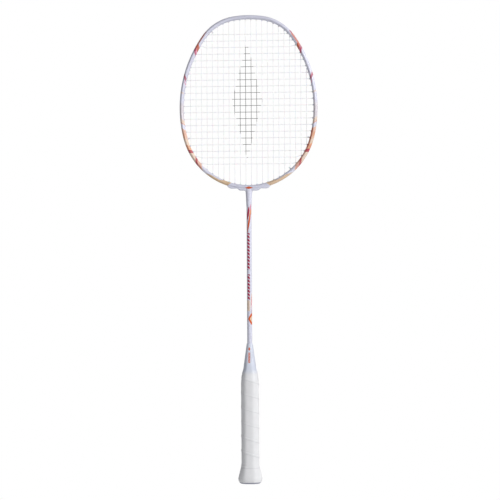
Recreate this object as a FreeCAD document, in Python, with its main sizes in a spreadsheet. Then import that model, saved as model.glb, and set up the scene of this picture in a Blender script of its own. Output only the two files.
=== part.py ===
import FreeCAD, Part
import math
import os
import re
import Sketcher
from collections import namedtuple
from FreeCAD import Placement, Rotation, Vector

# Badminton racket, in millimetres.
# The racket stands on its butt: +Z runs from the butt to the crown of the head, the strings lie in
# the XZ plane and the front face looks along -Y. The origin is the middle of the butt's flat base.
# A graphite hoop is closed at the throat by a moulded yoke. A T-shaped core joins both to the shaft,
# and the shaft is glued and pinned into a wooden handle with a cone cap, a butt cap and a wrapped grip.

SIZES = [
    # Overall
    ("overall_length", 675.0),
    ("fit_gap", 0.05),
    # Outline of the hoop's outer edge: tangent arcs from the crown down each side to the chin.
    # Each arc has a radius and the turn that it makes; the chin's arc closes the outline.
    ("crown_radius", 150.0),
    ("crown_turn", 8.0),
    ("shoulder_radius", 67.6),
    ("shoulder_turn", 46.6),
    ("side_radius", 179.8),
    ("side_turn", 49.3),
    # Section of the hoop: a flattened box with bevels, and a string groove round the outside
    ("frame_width", 5.8),
    ("frame_depth", 10.0),
    ("land_width", 5.2),
    ("nose_width", 3.8),
    ("outer_bevel", 2.1),
    ("inner_bevel", 1.8),
    ("groove_width", 3.2),
    ("groove_depth", 1.4),
    ("tube_wall", 0.9),
    # Strings
    ("string_radius", 0.34),
    ("main_pitch", 8.0),
    ("mains_per_side", 11),
    ("cross_pitch", 9.35),
    ("cross_count", 21),
    ("top_cross_height", 647.6),
    ("weave", 0.40),
    ("lane_shift", 0.45),
    ("crossing_margin", 1.2),
    ("knot_radius", 1.25),
    ("knot_length", 2.2),
    # Grommets
    ("barrel_radius", 1.15),
    ("barrel_bore", 0.85),
    ("flange_radius", 1.5),
    ("flange_thick", 0.5),
    ("barrel_lip", 1.0),
    ("share_reach", 3.3),
    ("string_rise", 0.14),
    ("drill_overrun", 0.5),
    # Yoke at the throat
    ("yoke_reach", 31.7),
    ("lip_depth", 6.6),
    ("inner_lip_low", 422.2),
    ("inner_lip_end", 13.5),
    ("outer_lip_low", 425.2),
    ("outer_lip_start", 17.2),
    ("outer_lip_end", 27.0),
    ("lip_root", 1.5),
    ("lip_toe", 1.2),
    ("stem_low", 399.0),
    ("stem_low_radius", 3.75),
    ("stem_mid", 417.0),
    ("stem_mid_radius", 4.45),
    ("stem_high", 421.0),
    ("stem_high_radius", 4.8),
    ("stem_fillet", 6.3),
    ("inner_slot_start", 2.4),
    ("inner_slot_step", 5.8),
    ("inner_slot_end", 14.6),
    ("outer_slot_start", 19.6),
    ("outer_slot_end", 33.0),
    # T-shaped core
    ("core_reach", 37.0),
    ("core_stem_radius", 2.2),
    ("core_stem_low", 385.0),
    # Shaft
    ("shaft_radius", 3.55),
    ("shaft_bore", 2.25),
    ("shaft_low", 62.0),
    ("shaft_top", 423.0),
    # Cone cap
    ("cone_top", 201.5),
    ("cone_top_half", 4.35),
    ("cone_knee", 190.0),
    ("cone_knee_half", 5.85),
    ("cone_base", 163.5),
    ("cone_base_half", 9.55),
    ("cone_skirt_low", 151.0),
    ("cone_skirt_half", 10.35),
    # Handle: an eight-sided wooden core, wider than it is deep
    ("flatness", 1.25),
    ("corner_ratio", 0.51),
    ("neck_half", 7.6),
    ("neck_top", 169.5),
    ("core_top", 150.0),
    ("core_half", 10.75),
    ("flare_top", 26.5),
    ("flare_low", 13.0),
    ("flare_half", 14.1),
    ("foot_half", 13.1),
    ("foot_low", 3.0),
    ("pin_height", 120.0),
    ("pin_radius", 1.0),
    ("pin_length", 18.6),
    # Grip
    ("underlay_thick", 0.25),
    ("wrap_thick", 1.7),
    ("wrap_low", 2.2),
    ("wrap_low_half", 16.4),
    ("wrap_bulge", 7.5),
    ("wrap_bulge_half", 17.35),
    ("wrap_shoulder", 146.0),
    ("wrap_step", 152.0),
    ("wrap_top", 158.5),
    ("wrap_top_half", 10.9),
    ("wrap_edge", 0.85),
    ("tape_low", 148.0),
    ("tape_low_half", 12.45),
    ("tape_step", 161.8),
    ("tape_step_half", 10.5),
    ("tape_top", 164.2),
    ("tape_thick", 0.25),
    # Butt cap and its blank medallion
    ("butt_base_half", 13.2),
    ("butt_lip", 2.0),
    ("butt_lip_half", 15.45),
    ("butt_bulge_half", 15.6),
    ("butt_top_half", 14.3),
    ("medallion_radius", 9.0),
    ("medallion_thick", 0.7),
    ("medallion_recess", 0.8),
    # Tack that holds the start of the grip
    ("tack_height", 36.0),
    ("tack_head_radius", 2.2),
    ("tack_head_thick", 0.5),
    ("tack_shank_radius", 0.5),
    ("tack_shank_length", 5.0),
]

XY, XZ, YZ = "XY_Plane", "XZ_Plane", "YZ_Plane"

doc = FreeCAD.newDocument("badminton_racket")
sheet = doc.addObject("Spreadsheet::Sheet", "Sizes")
aliases = set()
nodes = {}


def enter(alias, amount):
    """Write one driving dimension on the next free row of the sheet."""
    row = len(aliases) + 1
    sheet.set(f"A{row}", alias)
    sheet.set(f"B{row}", repr(amount))
    sheet.setAlias(f"B{row}", alias)
    aliases.add(alias)


def bound(text):
    """An expression in alias names, written the way FreeCAD reads it."""
    return re.sub(r"[a-z_]+", lambda word: "Sizes." + word.group() if word.group() in aliases
                  else word.group(), text)


def size(text):
    """The present value of an expression in alias names."""
    return float(sheet.evalExpression(bound(text)))


def bind(item, field, text):
    """Bind a property to an expression in alias names."""
    item.setExpression(field, bound(text))


for alias, amount in SIZES:
    enter(alias, amount)
doc.recompute()


# ---------------------------------------------------------------------------------------------
# The hoop's outline. A heading is the direction of the outward normal, in degrees from +Z:
# 0 is the crown, 180 the chin, positive on the right (+X) side and negative on the left.

Arc = namedtuple("Arc", "centre_x centre_z radius start end")


def hoop_arcs():
    """The four tangent arcs of the right half; the last one closes on the racket's axis."""
    arcs = []
    x, z, heading = 0.0, size("overall_length"), 0.0
    for name in ("crown", "shoulder", "side"):
        radius = size(name + "_radius")
        centre_x = x - radius * math.sin(math.radians(heading))
        centre_z = z - radius * math.cos(math.radians(heading))
        end = heading + size(name + "_turn")
        arcs.append(Arc(centre_x, centre_z, radius, heading, end))
        x = centre_x + radius * math.sin(math.radians(end))
        z = centre_z + radius * math.cos(math.radians(end))
        heading = end
    radius = x / math.sin(math.radians(heading))
    arcs.append(Arc(0.0, z - radius * math.cos(math.radians(heading)), radius, heading, 180.0))
    return arcs


ARCS = hoop_arcs()
enter("chin_radius", round(ARCS[-1].radius, 4))
enter("chin_centre", round(ARCS[-1].centre_z, 4))
enter("chin_low", round(ARCS[-1].centre_z - ARCS[-1].radius, 4))
doc.recompute()


def hoop_point(heading, inset, y=0.0):
    """The point on the outline at a heading, moved inwards by inset."""
    turn = abs(heading)
    arc = next(a for a in ARCS if turn <= a.end)
    reach = arc.radius - inset
    x = arc.centre_x + reach * math.sin(math.radians(turn))
    z = arc.centre_z + reach * math.cos(math.radians(turn))
    return Vector(math.copysign(x, heading), y, z)


def normal(heading):
    """The outward direction at a heading."""
    return Vector(math.sin(math.radians(heading)), 0, math.cos(math.radians(heading)))


def heading_at_x(x, inset, lower):
    """Heading of the inset outline's point at a given x, on its upper or lower half."""
    for arc in ARCS:
        sine = (x - arc.centre_x) / (arc.radius - inset)
        if abs(sine) <= 1:
            heading = math.degrees(math.asin(sine))
            heading = 180 - heading if lower else heading
            if arc.start <= heading <= arc.end:
                return heading
    raise ValueError("no outline at this x")


def heading_at_z(z, inset):
    """Heading of the inset outline's point at a given height."""
    for arc in ARCS:
        cosine = (z - arc.centre_z) / (arc.radius - inset)
        if abs(cosine) <= 1 and arc.start <= math.degrees(math.acos(cosine)) <= arc.end:
            return math.degrees(math.acos(cosine))
    raise ValueError("no outline at this height")


def run_length(first, last):
    """Length along the outline between two headings of one side."""
    low, high = sorted((abs(first), abs(last)))
    spans = [(a.radius, min(a.end, high) - max(a.start, low)) for a in ARCS]
    return sum(radius * math.radians(span) for radius, span in spans if span > 0)


# ---------------------------------------------------------------------------------------------
# Sketches and features

def new_body(label):
    body = doc.addObject("PartDesign::Body", label)
    body.Label = label
    return body


def new_sketch(body, name, role=XY, height=None):
    """A sketch on one of the body's own planes, moved up its normal by a bound height."""
    sketch = body.newObject("Sketcher::SketchObject", name)
    plane = next(item for item in body.Origin.OriginFeatures if item.Role == role)
    sketch.AttachmentSupport = [(plane, "")]
    sketch.MapMode = "FlatFace"
    if height is not None:
        bind(sketch, "AttachmentOffset.Base.z", height)
    return sketch


def place_point(sketch, edge, end, field, text):
    """Hold one coordinate of an edge's end at a bound distance from the sketch's origin."""
    amount = size(text)
    if abs(amount) < 1e-9:
        axis = -2 if field == "DistanceX" else -1
        sketch.addConstraint(Sketcher.Constraint("PointOnObject", edge, end, axis))
    elif amount > 0:
        index = sketch.addConstraint(Sketcher.Constraint(field, -1, 1, edge, end, amount))
        bind(sketch, f"Constraints[{index}]", text)
    else:
        index = sketch.addConstraint(Sketcher.Constraint(field, edge, end, -1, 1, -amount))
        bind(sketch, f"Constraints[{index}]", f"-({text})")


def add_outline(sketch, corners):
    """A closed polygon whose corners are pairs of bound expressions."""
    points = [Vector(size(x), size(y), 0) for x, y in corners]
    first = sketch.GeometryCount
    count = len(points)
    for i in range(count):
        sketch.addGeometry(Part.LineSegment(points[i], points[(i + 1) % count]), False)
    for i in range(count):
        sketch.addConstraint(Sketcher.Constraint("Coincident", first + i, 2, first + (i + 1) % count, 1))
    for i, (x, y) in enumerate(corners):
        place_point(sketch, first + i, 1, "DistanceX", x)
        place_point(sketch, first + i, 1, "DistanceY", y)


def mirrored(corners):
    """Corners of a right half, followed by the same corners on the left."""
    return corners + [(f"-({x})", y) for x, y in reversed(corners)]


def add_circle(sketch, radius, height=None):
    """A circle about the sketch's origin, or about a bound height on its vertical axis."""
    centre = Vector(0, size(height) if height else 0, 0)
    circle = sketch.addGeometry(Part.Circle(centre, Vector(0, 0, 1), size(radius)), False)
    if height:
        place_point(sketch, circle, 3, "DistanceX", "0")
        place_point(sketch, circle, 3, "DistanceY", height)
    else:
        sketch.addConstraint(Sketcher.Constraint("Coincident", circle, 3, -1, 1))
    index = sketch.addConstraint(Sketcher.Constraint("Radius", circle, size(radius)))
    bind(sketch, f"Constraints[{index}]", radius)


def extrude(body, kind, name, sketch, length, symmetric=False):
    """A Pad up the sketch's normal, or a Pocket down it; symmetric ones straddle the sketch."""
    feature = body.newObject("PartDesign::" + kind, name)
    feature.Profile = sketch
    bind(feature, "Length", length)
    if symmetric:
        feature.SideType = "Symmetric"
    return feature


def octagon(sketch, half_x, half_y):
    """Eight-sided outline: wide front and back facets, side facets and four corner facets."""
    corner = f"corner_ratio * ({half_x})"
    add_outline(sketch, [
        (f"{half_x} - {corner}", half_y),
        (half_x, f"{half_y} - {corner}"),
        (half_x, f"{corner} - ({half_y})"),
        (f"{half_x} - {corner}", f"-({half_y})"),
        (f"{corner} - ({half_x})", f"-({half_y})"),
        (f"-({half_x})", f"{corner} - ({half_y})"),
        (f"-({half_x})", f"{half_y} - {corner}"),
        (f"{corner} - ({half_x})", half_y),
    ])


def octagon_loft(body, kind, name, levels):
    """Loft through octagons at (height, half width, half depth) levels, with flat facets."""
    sketches = []
    for number, (height, half_x, half_y) in enumerate(levels):
        sketch = new_sketch(body, f"{name}_level_{number}", XY, height)
        octagon(sketch, half_x, half_y)
        sketches.append(sketch)
    loft = body.newObject("PartDesign::" + kind, name)
    loft.Profile = sketches[0]
    loft.Sections = sketches[1:]
    loft.Ruled = True
    return loft


def grip_levels(levels):
    """Levels of the handle's family of octagons, which are all less deep than wide."""
    return [(height, half, f"{half} - flatness") for height, half in levels]


def cylinder(name, radius, length, base, direction):
    """A Part cylinder with bound sizes, from a base point along a direction."""
    item = doc.addObject("Part::Cylinder", name)
    bind(item, "Radius", radius)
    bind(item, "Height", length)
    item.Placement = Placement(base, Rotation(Vector(0, 0, 1), direction))
    return item


def cut(label, base, tool):
    item = doc.addObject("Part::Cut", label)
    item.Base = base
    item.Tool = tool
    return item


def keep(label, item):
    """Name a finished sub-part and put it on the list to export."""
    item.Label = label
    nodes[label] = item


# ---------------------------------------------------------------------------------------------
# Sections and paths of the hoop's tube

def tube_outside(outer, inward, grooved):
    """Right and left corners of the tube's section, from its outer face inwards."""
    corners = [
        ("land_width / 2", outer),
        ("frame_depth / 2", f"{outer} {inward} outer_bevel"),
        ("frame_depth / 2", f"{outer} {inward} (frame_width - inner_bevel)"),
        ("nose_width / 2", f"{outer} {inward} frame_width"),
    ]
    if grooved:
        groove = [("groove_width / 2", f"{outer} {inward} groove_depth"), ("groove_width / 2", outer)]
        corners = groove + corners
    return mirrored(corners)


def tube_inside(outer, inward, gap):
    """Corners of the tube's cavity, or of a filling that is smaller by gap."""
    return mirrored([
        (f"frame_depth / 2 - tube_wall - {gap}", f"{outer} {inward} (groove_depth + tube_wall + {gap})"),
        (f"frame_depth / 2 - tube_wall - {gap}",
         f"{outer} {inward} (frame_width - inner_bevel - tube_wall / 2 - {gap})"),
        (f"nose_width / 2 - tube_wall / 3 - {gap}",
         f"{outer} {inward} (frame_width - tube_wall - {gap})"),
    ])


def add_arc(sketch, arc, start, end):
    """An arc of the outline between two headings; its first point is at the end heading."""
    circle = Part.Circle(Vector(arc.centre_x, arc.centre_z, 0), Vector(0, 0, 1), arc.radius)
    return sketch.addGeometry(
        Part.ArcOfCircle(circle, math.radians(90 - end), math.radians(90 - start)), False)


def hoop_path(body):
    """The right half of the outline from the crown to the yoke, as tangent arcs."""
    sketch = new_sketch(body, "hoop_outline", XZ)
    yoke_heading = 180 - math.degrees(math.asin(size("yoke_reach / chin_radius")))
    for arc in ARCS:
        add_arc(sketch, arc, arc.start, min(arc.end, yoke_heading))
    place_point(sketch, 0, 2, "DistanceX", "0")
    place_point(sketch, 0, 2, "DistanceY", "overall_length")
    sketch.addConstraint(Sketcher.Constraint("PointOnObject", 0, 3, -2))
    for number, name in enumerate(("crown", "shoulder", "side")):
        radius = sketch.addConstraint(Sketcher.Constraint("Radius", number, ARCS[number].radius))
        bind(sketch, f"Constraints[{radius}]", name + "_radius")
        turn = math.radians(ARCS[number].end - ARCS[number].start)
        angle = sketch.addConstraint(Sketcher.Constraint("Angle", number, turn))
        bind(sketch, f"Constraints[{angle}]", name + "_turn * 1 deg")
        sketch.addConstraint(Sketcher.Constraint("Tangent", number, 1, number + 1, 2))
    sketch.addConstraint(Sketcher.Constraint("PointOnObject", 3, 3, -2))
    place_point(sketch, 3, 1, "DistanceX", "yoke_reach")
    return sketch


def chin_path(body, name, reach):
    """The chin's arc from the racket's axis to the right, as far as reach."""
    sketch = new_sketch(body, name, XZ)
    chin = ARCS[-1]
    add_arc(sketch, chin, 180 - math.degrees(math.asin(size(reach) / chin.radius)), 180)
    place_point(sketch, 0, 3, "DistanceX", "0")
    place_point(sketch, 0, 3, "DistanceY", "chin_centre")
    index = sketch.addConstraint(Sketcher.Constraint("Radius", 0, chin.radius))
    bind(sketch, f"Constraints[{index}]", "chin_radius")
    place_point(sketch, 0, 1, "DistanceX", "0")
    place_point(sketch, 0, 2, "DistanceX", reach)
    return sketch


def pipe_both_sides(body, kind, name, section, path):
    """Sweep a section along the right half's path and mirror the result to the left."""
    pipe = body.newObject("PartDesign::" + kind, name)
    pipe.Profile = section
    pipe.Spine = (path, [])
    doc.recompute()
    mirror = body.newObject("PartDesign::Mirrored", name + "_left")
    mirror.Originals = [pipe]
    plane = next(item for item in body.Origin.OriginFeatures if item.Role == YZ)
    mirror.MirrorPlane = (plane, [""])
    body.Tip = mirror
    return mirror


# ---------------------------------------------------------------------------------------------
# String holes. Mains are counted in columns from the left, crosses in rows from the top.

COLUMNS = 2 * int(size("mains_per_side"))
ROWS = int(size("cross_count"))
LIP_INSET = size("frame_width + barrel_lip")
STRING_INSET = size("groove_depth - flange_thick - string_radius - string_rise")


def column_x(column):
    return (column - (COLUMNS + 1) / 2) * size("main_pitch")


def row_z(row):
    return size("top_cross_height") - (row - 1) * size("cross_pitch")


def main_heading(column, lower):
    """Signed heading of a main string's upper or lower hole."""
    x = column_x(column)
    return math.copysign(heading_at_x(abs(x), LIP_INSET, lower), x)


def cross_heading(row, side):
    """Signed heading of a cross string's hole, shared with a main's hole where they nearly meet."""
    own = heading_at_z(row_z(row), LIP_INSET)
    right_columns = range(COLUMNS // 2 + 1, COLUMNS + 1)
    mains = [main_heading(column, lower) for column in right_columns for lower in (False, True)]
    nearest = min(mains, key=lambda heading: run_length(heading, own))
    return side * (nearest if run_length(nearest, own) < size("share_reach") else own)


MAIN_HOLES = {(column, lower): main_heading(column, lower)
              for column in range(1, COLUMNS + 1) for lower in (False, True)}
CROSS_HOLES = {(row, side): cross_heading(row, side)
               for row in range(1, ROWS + 1) for side in (-1, 1)}
HOLES = sorted(set(MAIN_HOLES.values()) | set(CROSS_HOLES.values()))


def string_holes():
    """One drill for each string hole, as a group of placed copies of a bound cylinder."""
    drill = doc.addObject("Part::Cylinder", "string_drill")
    bind(drill, "Radius", "barrel_radius + fit_gap")
    bind(drill, "Height", "frame_width + drill_overrun * 2")
    doc.recompute()
    return placed_copies("string_drills", drill.Shape, HOLES, -size("drill_overrun"))


def placed_copies(label, shape, headings, inset):
    """Copies of a shape at each heading, its +Z turned inwards through the hoop's tube."""
    copies = []
    for heading in headings:
        inwards = Rotation(Vector(0, 0, 1), -normal(heading))
        turned = shape.copy()
        turned.Placement = Placement(hoop_point(heading, inset), inwards)
        copies.append(turned)
    group = doc.addObject("Part::Feature", label)
    group.Shape = Part.makeCompound(copies)
    return group


# ---------------------------------------------------------------------------------------------
# Head

def make_head_frame(drills):
    """Hollow graphite hoop with its string groove, open at the throat for the yoke."""
    body = new_body("head_frame_blank")
    path = hoop_path(body)
    section = new_sketch(body, "hoop_section", YZ)
    add_outline(section, tube_outside("overall_length", "-", grooved=True))
    add_outline(section, tube_inside("overall_length", "-", "0"))
    pipe_both_sides(body, "AdditivePipe", "hoop", section, path)
    keep("head_frame", cut("head_frame_drilled", body, drills))


def lip_corners():
    """Right-hand outline of the two raised lips, a low and a high one, that shield the strings' loops."""
    def root(x, inset="lip_root"):
        return f"chin_centre - sqrt((chin_radius - {inset})^2 - ({x})^2)"
    return [
        ("stem_high_radius", "stem_high"),
        ("stem_fillet", "inner_lip_low"),
        ("inner_lip_end", "inner_lip_low"),
        ("outer_lip_start", "outer_lip_low"),
        ("outer_lip_end", "outer_lip_low"),
        ("yoke_reach - lip_root", root("yoke_reach - lip_root", "-lip_toe")),
        ("yoke_reach - lip_root", root("yoke_reach - lip_root")),
        ("outer_lip_start", root("outer_lip_start")),
    ]


def flipped(corners):
    return [(f"-({x})", z) for x, z in corners]


def slot_corners():
    """Right-hand outlines of the slots that let the loops lie between the lips."""
    def floor(x):
        return f"chin_low + groove_depth + fit_gap * 2 + ({x})^2 / chin_radius / 2"
    inner = [
        ("inner_slot_start", floor("inner_slot_start")),
        ("inner_slot_end", floor("inner_slot_end")),
        ("inner_slot_end", "stem_low"),
        ("inner_slot_step", "stem_low"),
        ("inner_slot_step", "shaft_top + fit_gap * 4"),
        ("inner_slot_start", "shaft_top + fit_gap * 4"),
    ]
    outer = [
        ("outer_slot_start", floor("outer_slot_start")),
        ("outer_slot_end", floor("outer_slot_end")),
        ("outer_slot_end", "stem_low"),
        ("outer_slot_start", "stem_low"),
    ]
    return inner, outer


def make_throat_yoke(drills):
    """Moulded yoke: a hollow length of the hoop's section, two lips a side and a stem."""
    body = new_body("throat_yoke_blank")
    section = new_sketch(body, "yoke_section", YZ)
    add_outline(section, tube_outside("chin_low", "+", grooved=False))
    path = chin_path(body, "yoke_path", "yoke_reach")
    pipe_both_sides(body, "AdditivePipe", "yoke_tube", section, path)
    lips = new_sketch(body, "lip_outlines", XZ)
    add_outline(lips, mirrored(lip_corners()))
    extrude(body, "Pad", "lips", lips, "lip_depth", symmetric=True)
    stem = new_sketch(body, "stem_half_section", XZ)
    add_outline(stem, [
        ("0", "stem_low"),
        ("stem_low_radius", "stem_low"),
        ("stem_mid_radius", "stem_mid"),
        ("stem_high_radius", "stem_high"),
        ("stem_high_radius", "chin_low + lip_root"),
        ("0", "chin_low + lip_root"),
    ])
    turn = body.newObject("PartDesign::Revolution", "stem")
    turn.Profile = stem
    turn.ReferenceAxis = (stem, ["V_Axis"])
    cavity = new_sketch(body, "cavity_section", YZ)
    add_outline(cavity, tube_inside("chin_low", "+", "0"))
    path = chin_path(body, "cavity_path", "yoke_reach")
    pipe_both_sides(body, "SubtractivePipe", "cavity", cavity, path)
    bore = new_sketch(body, "shaft_bore_circle", XY, "shaft_top + fit_gap")
    add_circle(bore, "shaft_radius + fit_gap")
    extrude(body, "Pocket", "shaft_bore", bore, "shaft_top + fit_gap - stem_low")
    neck = new_sketch(body, "core_bore_circle", XY, "chin_low + frame_width / 2")
    add_circle(neck, "core_stem_radius + fit_gap")
    extrude(body, "Pocket", "core_bore", neck, "chin_low + frame_width / 2 - shaft_top")
    slots = new_sketch(body, "slot_outlines", XZ)
    for corners in slot_corners():
        add_outline(slots, corners)
        add_outline(slots, flipped(corners))
    extrude(body, "Pocket", "slots", slots, "groove_width", symmetric=True)
    keep("throat_yoke", cut("throat_yoke_drilled", body, drills))


def make_t_core(drills):
    """T-shaped core inside the joint: two curved arms and a stem that enters the shaft."""
    body = new_body("t_joint_core_blank")
    section = new_sketch(body, "arm_section", YZ)
    add_outline(section, tube_inside("chin_low", "+", "fit_gap"))
    pipe_both_sides(body, "AdditivePipe", "arms", section, chin_path(body, "arm_path", "core_reach"))
    stem = new_sketch(body, "core_stem_circle", XY, "core_stem_low")
    add_circle(stem, "core_stem_radius")
    extrude(body, "Pad", "core_stem", stem, "chin_low + frame_width / 2 - core_stem_low")
    keep("t_joint_core", cut("t_joint_core_drilled", body, drills))


def make_grommet_groups():
    """Flanged nylon grommets in every string hole, grouped by the stretch of hoop they line."""
    master = new_body("grommet")
    section = new_sketch(master, "grommet_half_section", XZ)
    add_outline(section, [
        ("barrel_bore", "0"),
        ("flange_radius", "0"),
        ("flange_radius", "flange_thick"),
        ("barrel_radius", "flange_thick"),
        ("barrel_radius", "frame_width + barrel_lip - groove_depth + flange_thick"),
        ("barrel_bore", "frame_width + barrel_lip - groove_depth + flange_thick"),
    ])
    turn = master.newObject("PartDesign::Revolution", "grommet_turn")
    turn.Profile = section
    turn.ReferenceAxis = (section, ["V_Axis"])
    doc.recompute()
    stretches = [("crown", 0, 30), ("shoulder", 30, 62), ("upper_side", 62, 90),
                 ("lower_side", 90, 115), ("chin", 115, 155), ("throat", 155, 180)]
    inset = size("groove_depth - flange_thick")
    for name, start, end in stretches:
        inside = [heading for heading in HOLES if start <= abs(heading) < end]
        if name in ("crown", "throat"):
            keep(f"grommets_{name}", placed_copies(f"{name}_group", master.Shape, inside, inset))
            continue
        for side, sign in (("left", -1), ("right", 1)):
            headings = [heading for heading in inside if heading * sign > 0]
            keep(f"grommets_{name}_{side}",
                 placed_copies(f"{name}_{side}_group", master.Shape, headings, inset))


# ---------------------------------------------------------------------------------------------
# Strings. In the holes and in the groove the mains keep to the front lane and the crosses to the
# back lane. On the bed they weave: each passes the other on alternate sides.

MAIN_LANE = -size("lane_shift")
CROSS_LANE = size("lane_shift")


def crosses_inside(column, row):
    """True where a main and a cross meet well inside both of their runs."""
    margin = size("crossing_margin")
    x, z = column_x(column), row_z(row)
    top = hoop_point(MAIN_HOLES[column, False], LIP_INSET).z
    bottom = hoop_point(MAIN_HOLES[column, True], LIP_INSET).z
    left = hoop_point(CROSS_HOLES[row, -1], LIP_INSET).x
    right = hoop_point(CROSS_HOLES[row, 1], LIP_INSET).x
    return bottom + margin < z < top - margin and left + margin < x < right - margin


def weave_level(column, row):
    """Height of the main above or below the bed where it meets a cross."""
    return size("weave") * (-1 if (column + row) % 2 == 0 else 1)


def through_hole(heading, lane):
    """From the groove to the inner lip of a hole's grommet."""
    return [hoop_point(heading, STRING_INSET, lane), hoop_point(heading, LIP_INSET, lane)]


def main_run(column):
    """A main string from its upper hole down to its lower hole."""
    x = column_x(column)
    rows = [row for row in range(1, ROWS + 1) if crosses_inside(column, row)]
    meeting = [Vector(x, weave_level(column, row), row_z(row)) for row in rows]
    upper = through_hole(MAIN_HOLES[column, False], MAIN_LANE)
    lower = through_hole(MAIN_HOLES[column, True], MAIN_LANE)
    return upper + meeting + lower[::-1]


def cross_run(row):
    """A cross string from its left hole to its right hole."""
    z = row_z(row)
    columns = [column for column in range(1, COLUMNS + 1) if crosses_inside(column, row)]
    meeting = [Vector(column_x(column), -weave_level(column, row), z) for column in columns]
    left = through_hole(CROSS_HOLES[row, -1], CROSS_LANE)
    right = through_hole(CROSS_HOLES[row, 1], CROSS_LANE)
    return left + meeting + right[::-1]


def groove_run(first, last, lane):
    """Points over the holes that a loop passes in the groove between two holes."""
    low, high = sorted((first, last))
    passed = [heading for heading in HOLES if low < heading < high]
    if first > last:
        passed.reverse()
    return [hoop_point(heading, STRING_INSET, lane) for heading in passed]


def neighbour(heading, towards):
    """The next hole along the hoop, on the side of another heading."""
    passed = [other for other in HOLES if min(heading, towards) < other < max(heading, towards)]
    return min(passed, key=lambda other: abs(other - heading))


def main_route():
    """The whole main string: up the odd columns and down the even ones, from left to right."""
    start, end = MAIN_HOLES[1, True], MAIN_HOLES[COLUMNS, True]
    first_knot, last_knot = neighbour(start, -90), neighbour(end, 90)
    points = through_hole(first_knot, MAIN_LANE)[::-1] + groove_run(first_knot, start, MAIN_LANE)
    for column in range(1, COLUMNS + 1):
        lower = column % 2 == 0
        points += main_run(column) if lower else main_run(column)[::-1]
        if column < COLUMNS:
            points += groove_run(MAIN_HOLES[column, lower], MAIN_HOLES[column + 1, lower], MAIN_LANE)
    points += groove_run(end, last_knot, MAIN_LANE) + through_hole(last_knot, MAIN_LANE)
    return points, (first_knot, last_knot)


def cross_route():
    """The whole cross string: from left to right on the odd rows, and back on the even ones."""
    start, end = CROSS_HOLES[1, -1], CROSS_HOLES[ROWS, 1]
    first_knot, last_knot = neighbour(start, 0), neighbour(end, 180)
    points = through_hole(first_knot, CROSS_LANE)[::-1] + groove_run(first_knot, start, CROSS_LANE)
    for row in range(1, ROWS + 1):
        side = 1 if row % 2 else -1
        points += cross_run(row) if side > 0 else cross_run(row)[::-1]
        if row < ROWS:
            points += groove_run(CROSS_HOLES[row, side], CROSS_HOLES[row + 1, side], CROSS_LANE)
    points += groove_run(end, last_knot, CROSS_LANE) + through_hole(last_knot, CROSS_LANE)
    return points, (first_knot, last_knot)


def anchor_run(heading):
    """The string that a knot is tied round: the two points where it leaves the knot's hole."""
    for (column, lower), hole in MAIN_HOLES.items():
        if hole == heading:
            run = main_run(column)
            return (run[-2], run[-3]) if lower else (run[1], run[2])
    for (row, side), hole in CROSS_HOLES.items():
        if hole == heading:
            run = cross_run(row)
            return (run[-2], run[-3]) if side > 0 else (run[1], run[2])
    raise ValueError("no string leaves this hole")


def make_knot(name, heading):
    """A knot just inside the grommet's lip, bored for the string that it is tied round."""
    barrel = cylinder(name + "_barrel", "knot_radius", "knot_length",
                      hoop_point(heading, LIP_INSET + size("fit_gap")), -normal(heading))
    start, onward = anchor_run(heading)
    bore = cylinder(name + "_bore", "string_radius + fit_gap * 2", "main_pitch",
                    start - (onward - start).normalize() * size("fit_gap"), onward - start)
    return cut(name, barrel, bore)


def make_string(label, route, knot_holes):
    """One string swept along its whole route, with its two knots."""
    spine = doc.addObject("Part::Polygon", label + "_route")
    tail = size("knot_length") / 2
    ends = [hoop_point(hole, LIP_INSET + tail, route[0].y) for hole in knot_holes]
    spine.Nodes = [ends[0]] + route[1:-1] + [ends[1]]
    section = doc.addObject("Part::Circle", label + "_section")
    bind(section, "Radius", "string_radius")
    outset = Rotation(Vector(0, 0, 1), spine.Nodes[1] - spine.Nodes[0])
    section.Placement = Placement(spine.Nodes[0], outset)
    doc.recompute()
    sweep = doc.addObject("Part::Sweep", label + "_sweep")
    sweep.Sections = [section]
    sweep.Spine = (spine, [])
    sweep.Solid = True
    sweep.Transition = "Right corner"
    knots = [make_knot(f"{label}_knot_{number}", hole) for number, hole in enumerate(knot_holes)]
    whole = doc.addObject("Part::MultiFuse", label + "_whole")
    whole.Shapes = [sweep] + knots
    keep(label, whole)
    print(f"{label}: {spine.Shape.Length / 1000:.2f} m, {len(spine.Nodes)} points")


# ---------------------------------------------------------------------------------------------
# Shaft and handle

def cut_pin_hole(body):
    """Cross hole for the steel pin, from front to back."""
    circle = new_sketch(body, "pin_hole_circle", XZ)
    add_circle(circle, "pin_radius + fit_gap", "pin_height")
    extrude(body, "Pocket", "pin_hole", circle, "pin_length * 2", symmetric=True)


def make_shaft():
    """Straight graphite tube from the wooden handle up to the yoke."""
    body = new_body("shaft_tube")
    ring = new_sketch(body, "shaft_ring", XY, "shaft_low")
    add_circle(ring, "shaft_radius")
    add_circle(ring, "shaft_bore")
    extrude(body, "Pad", "tube", ring, "shaft_top - shaft_low")
    cut_pin_hole(body)
    keep("shaft", body)


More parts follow.
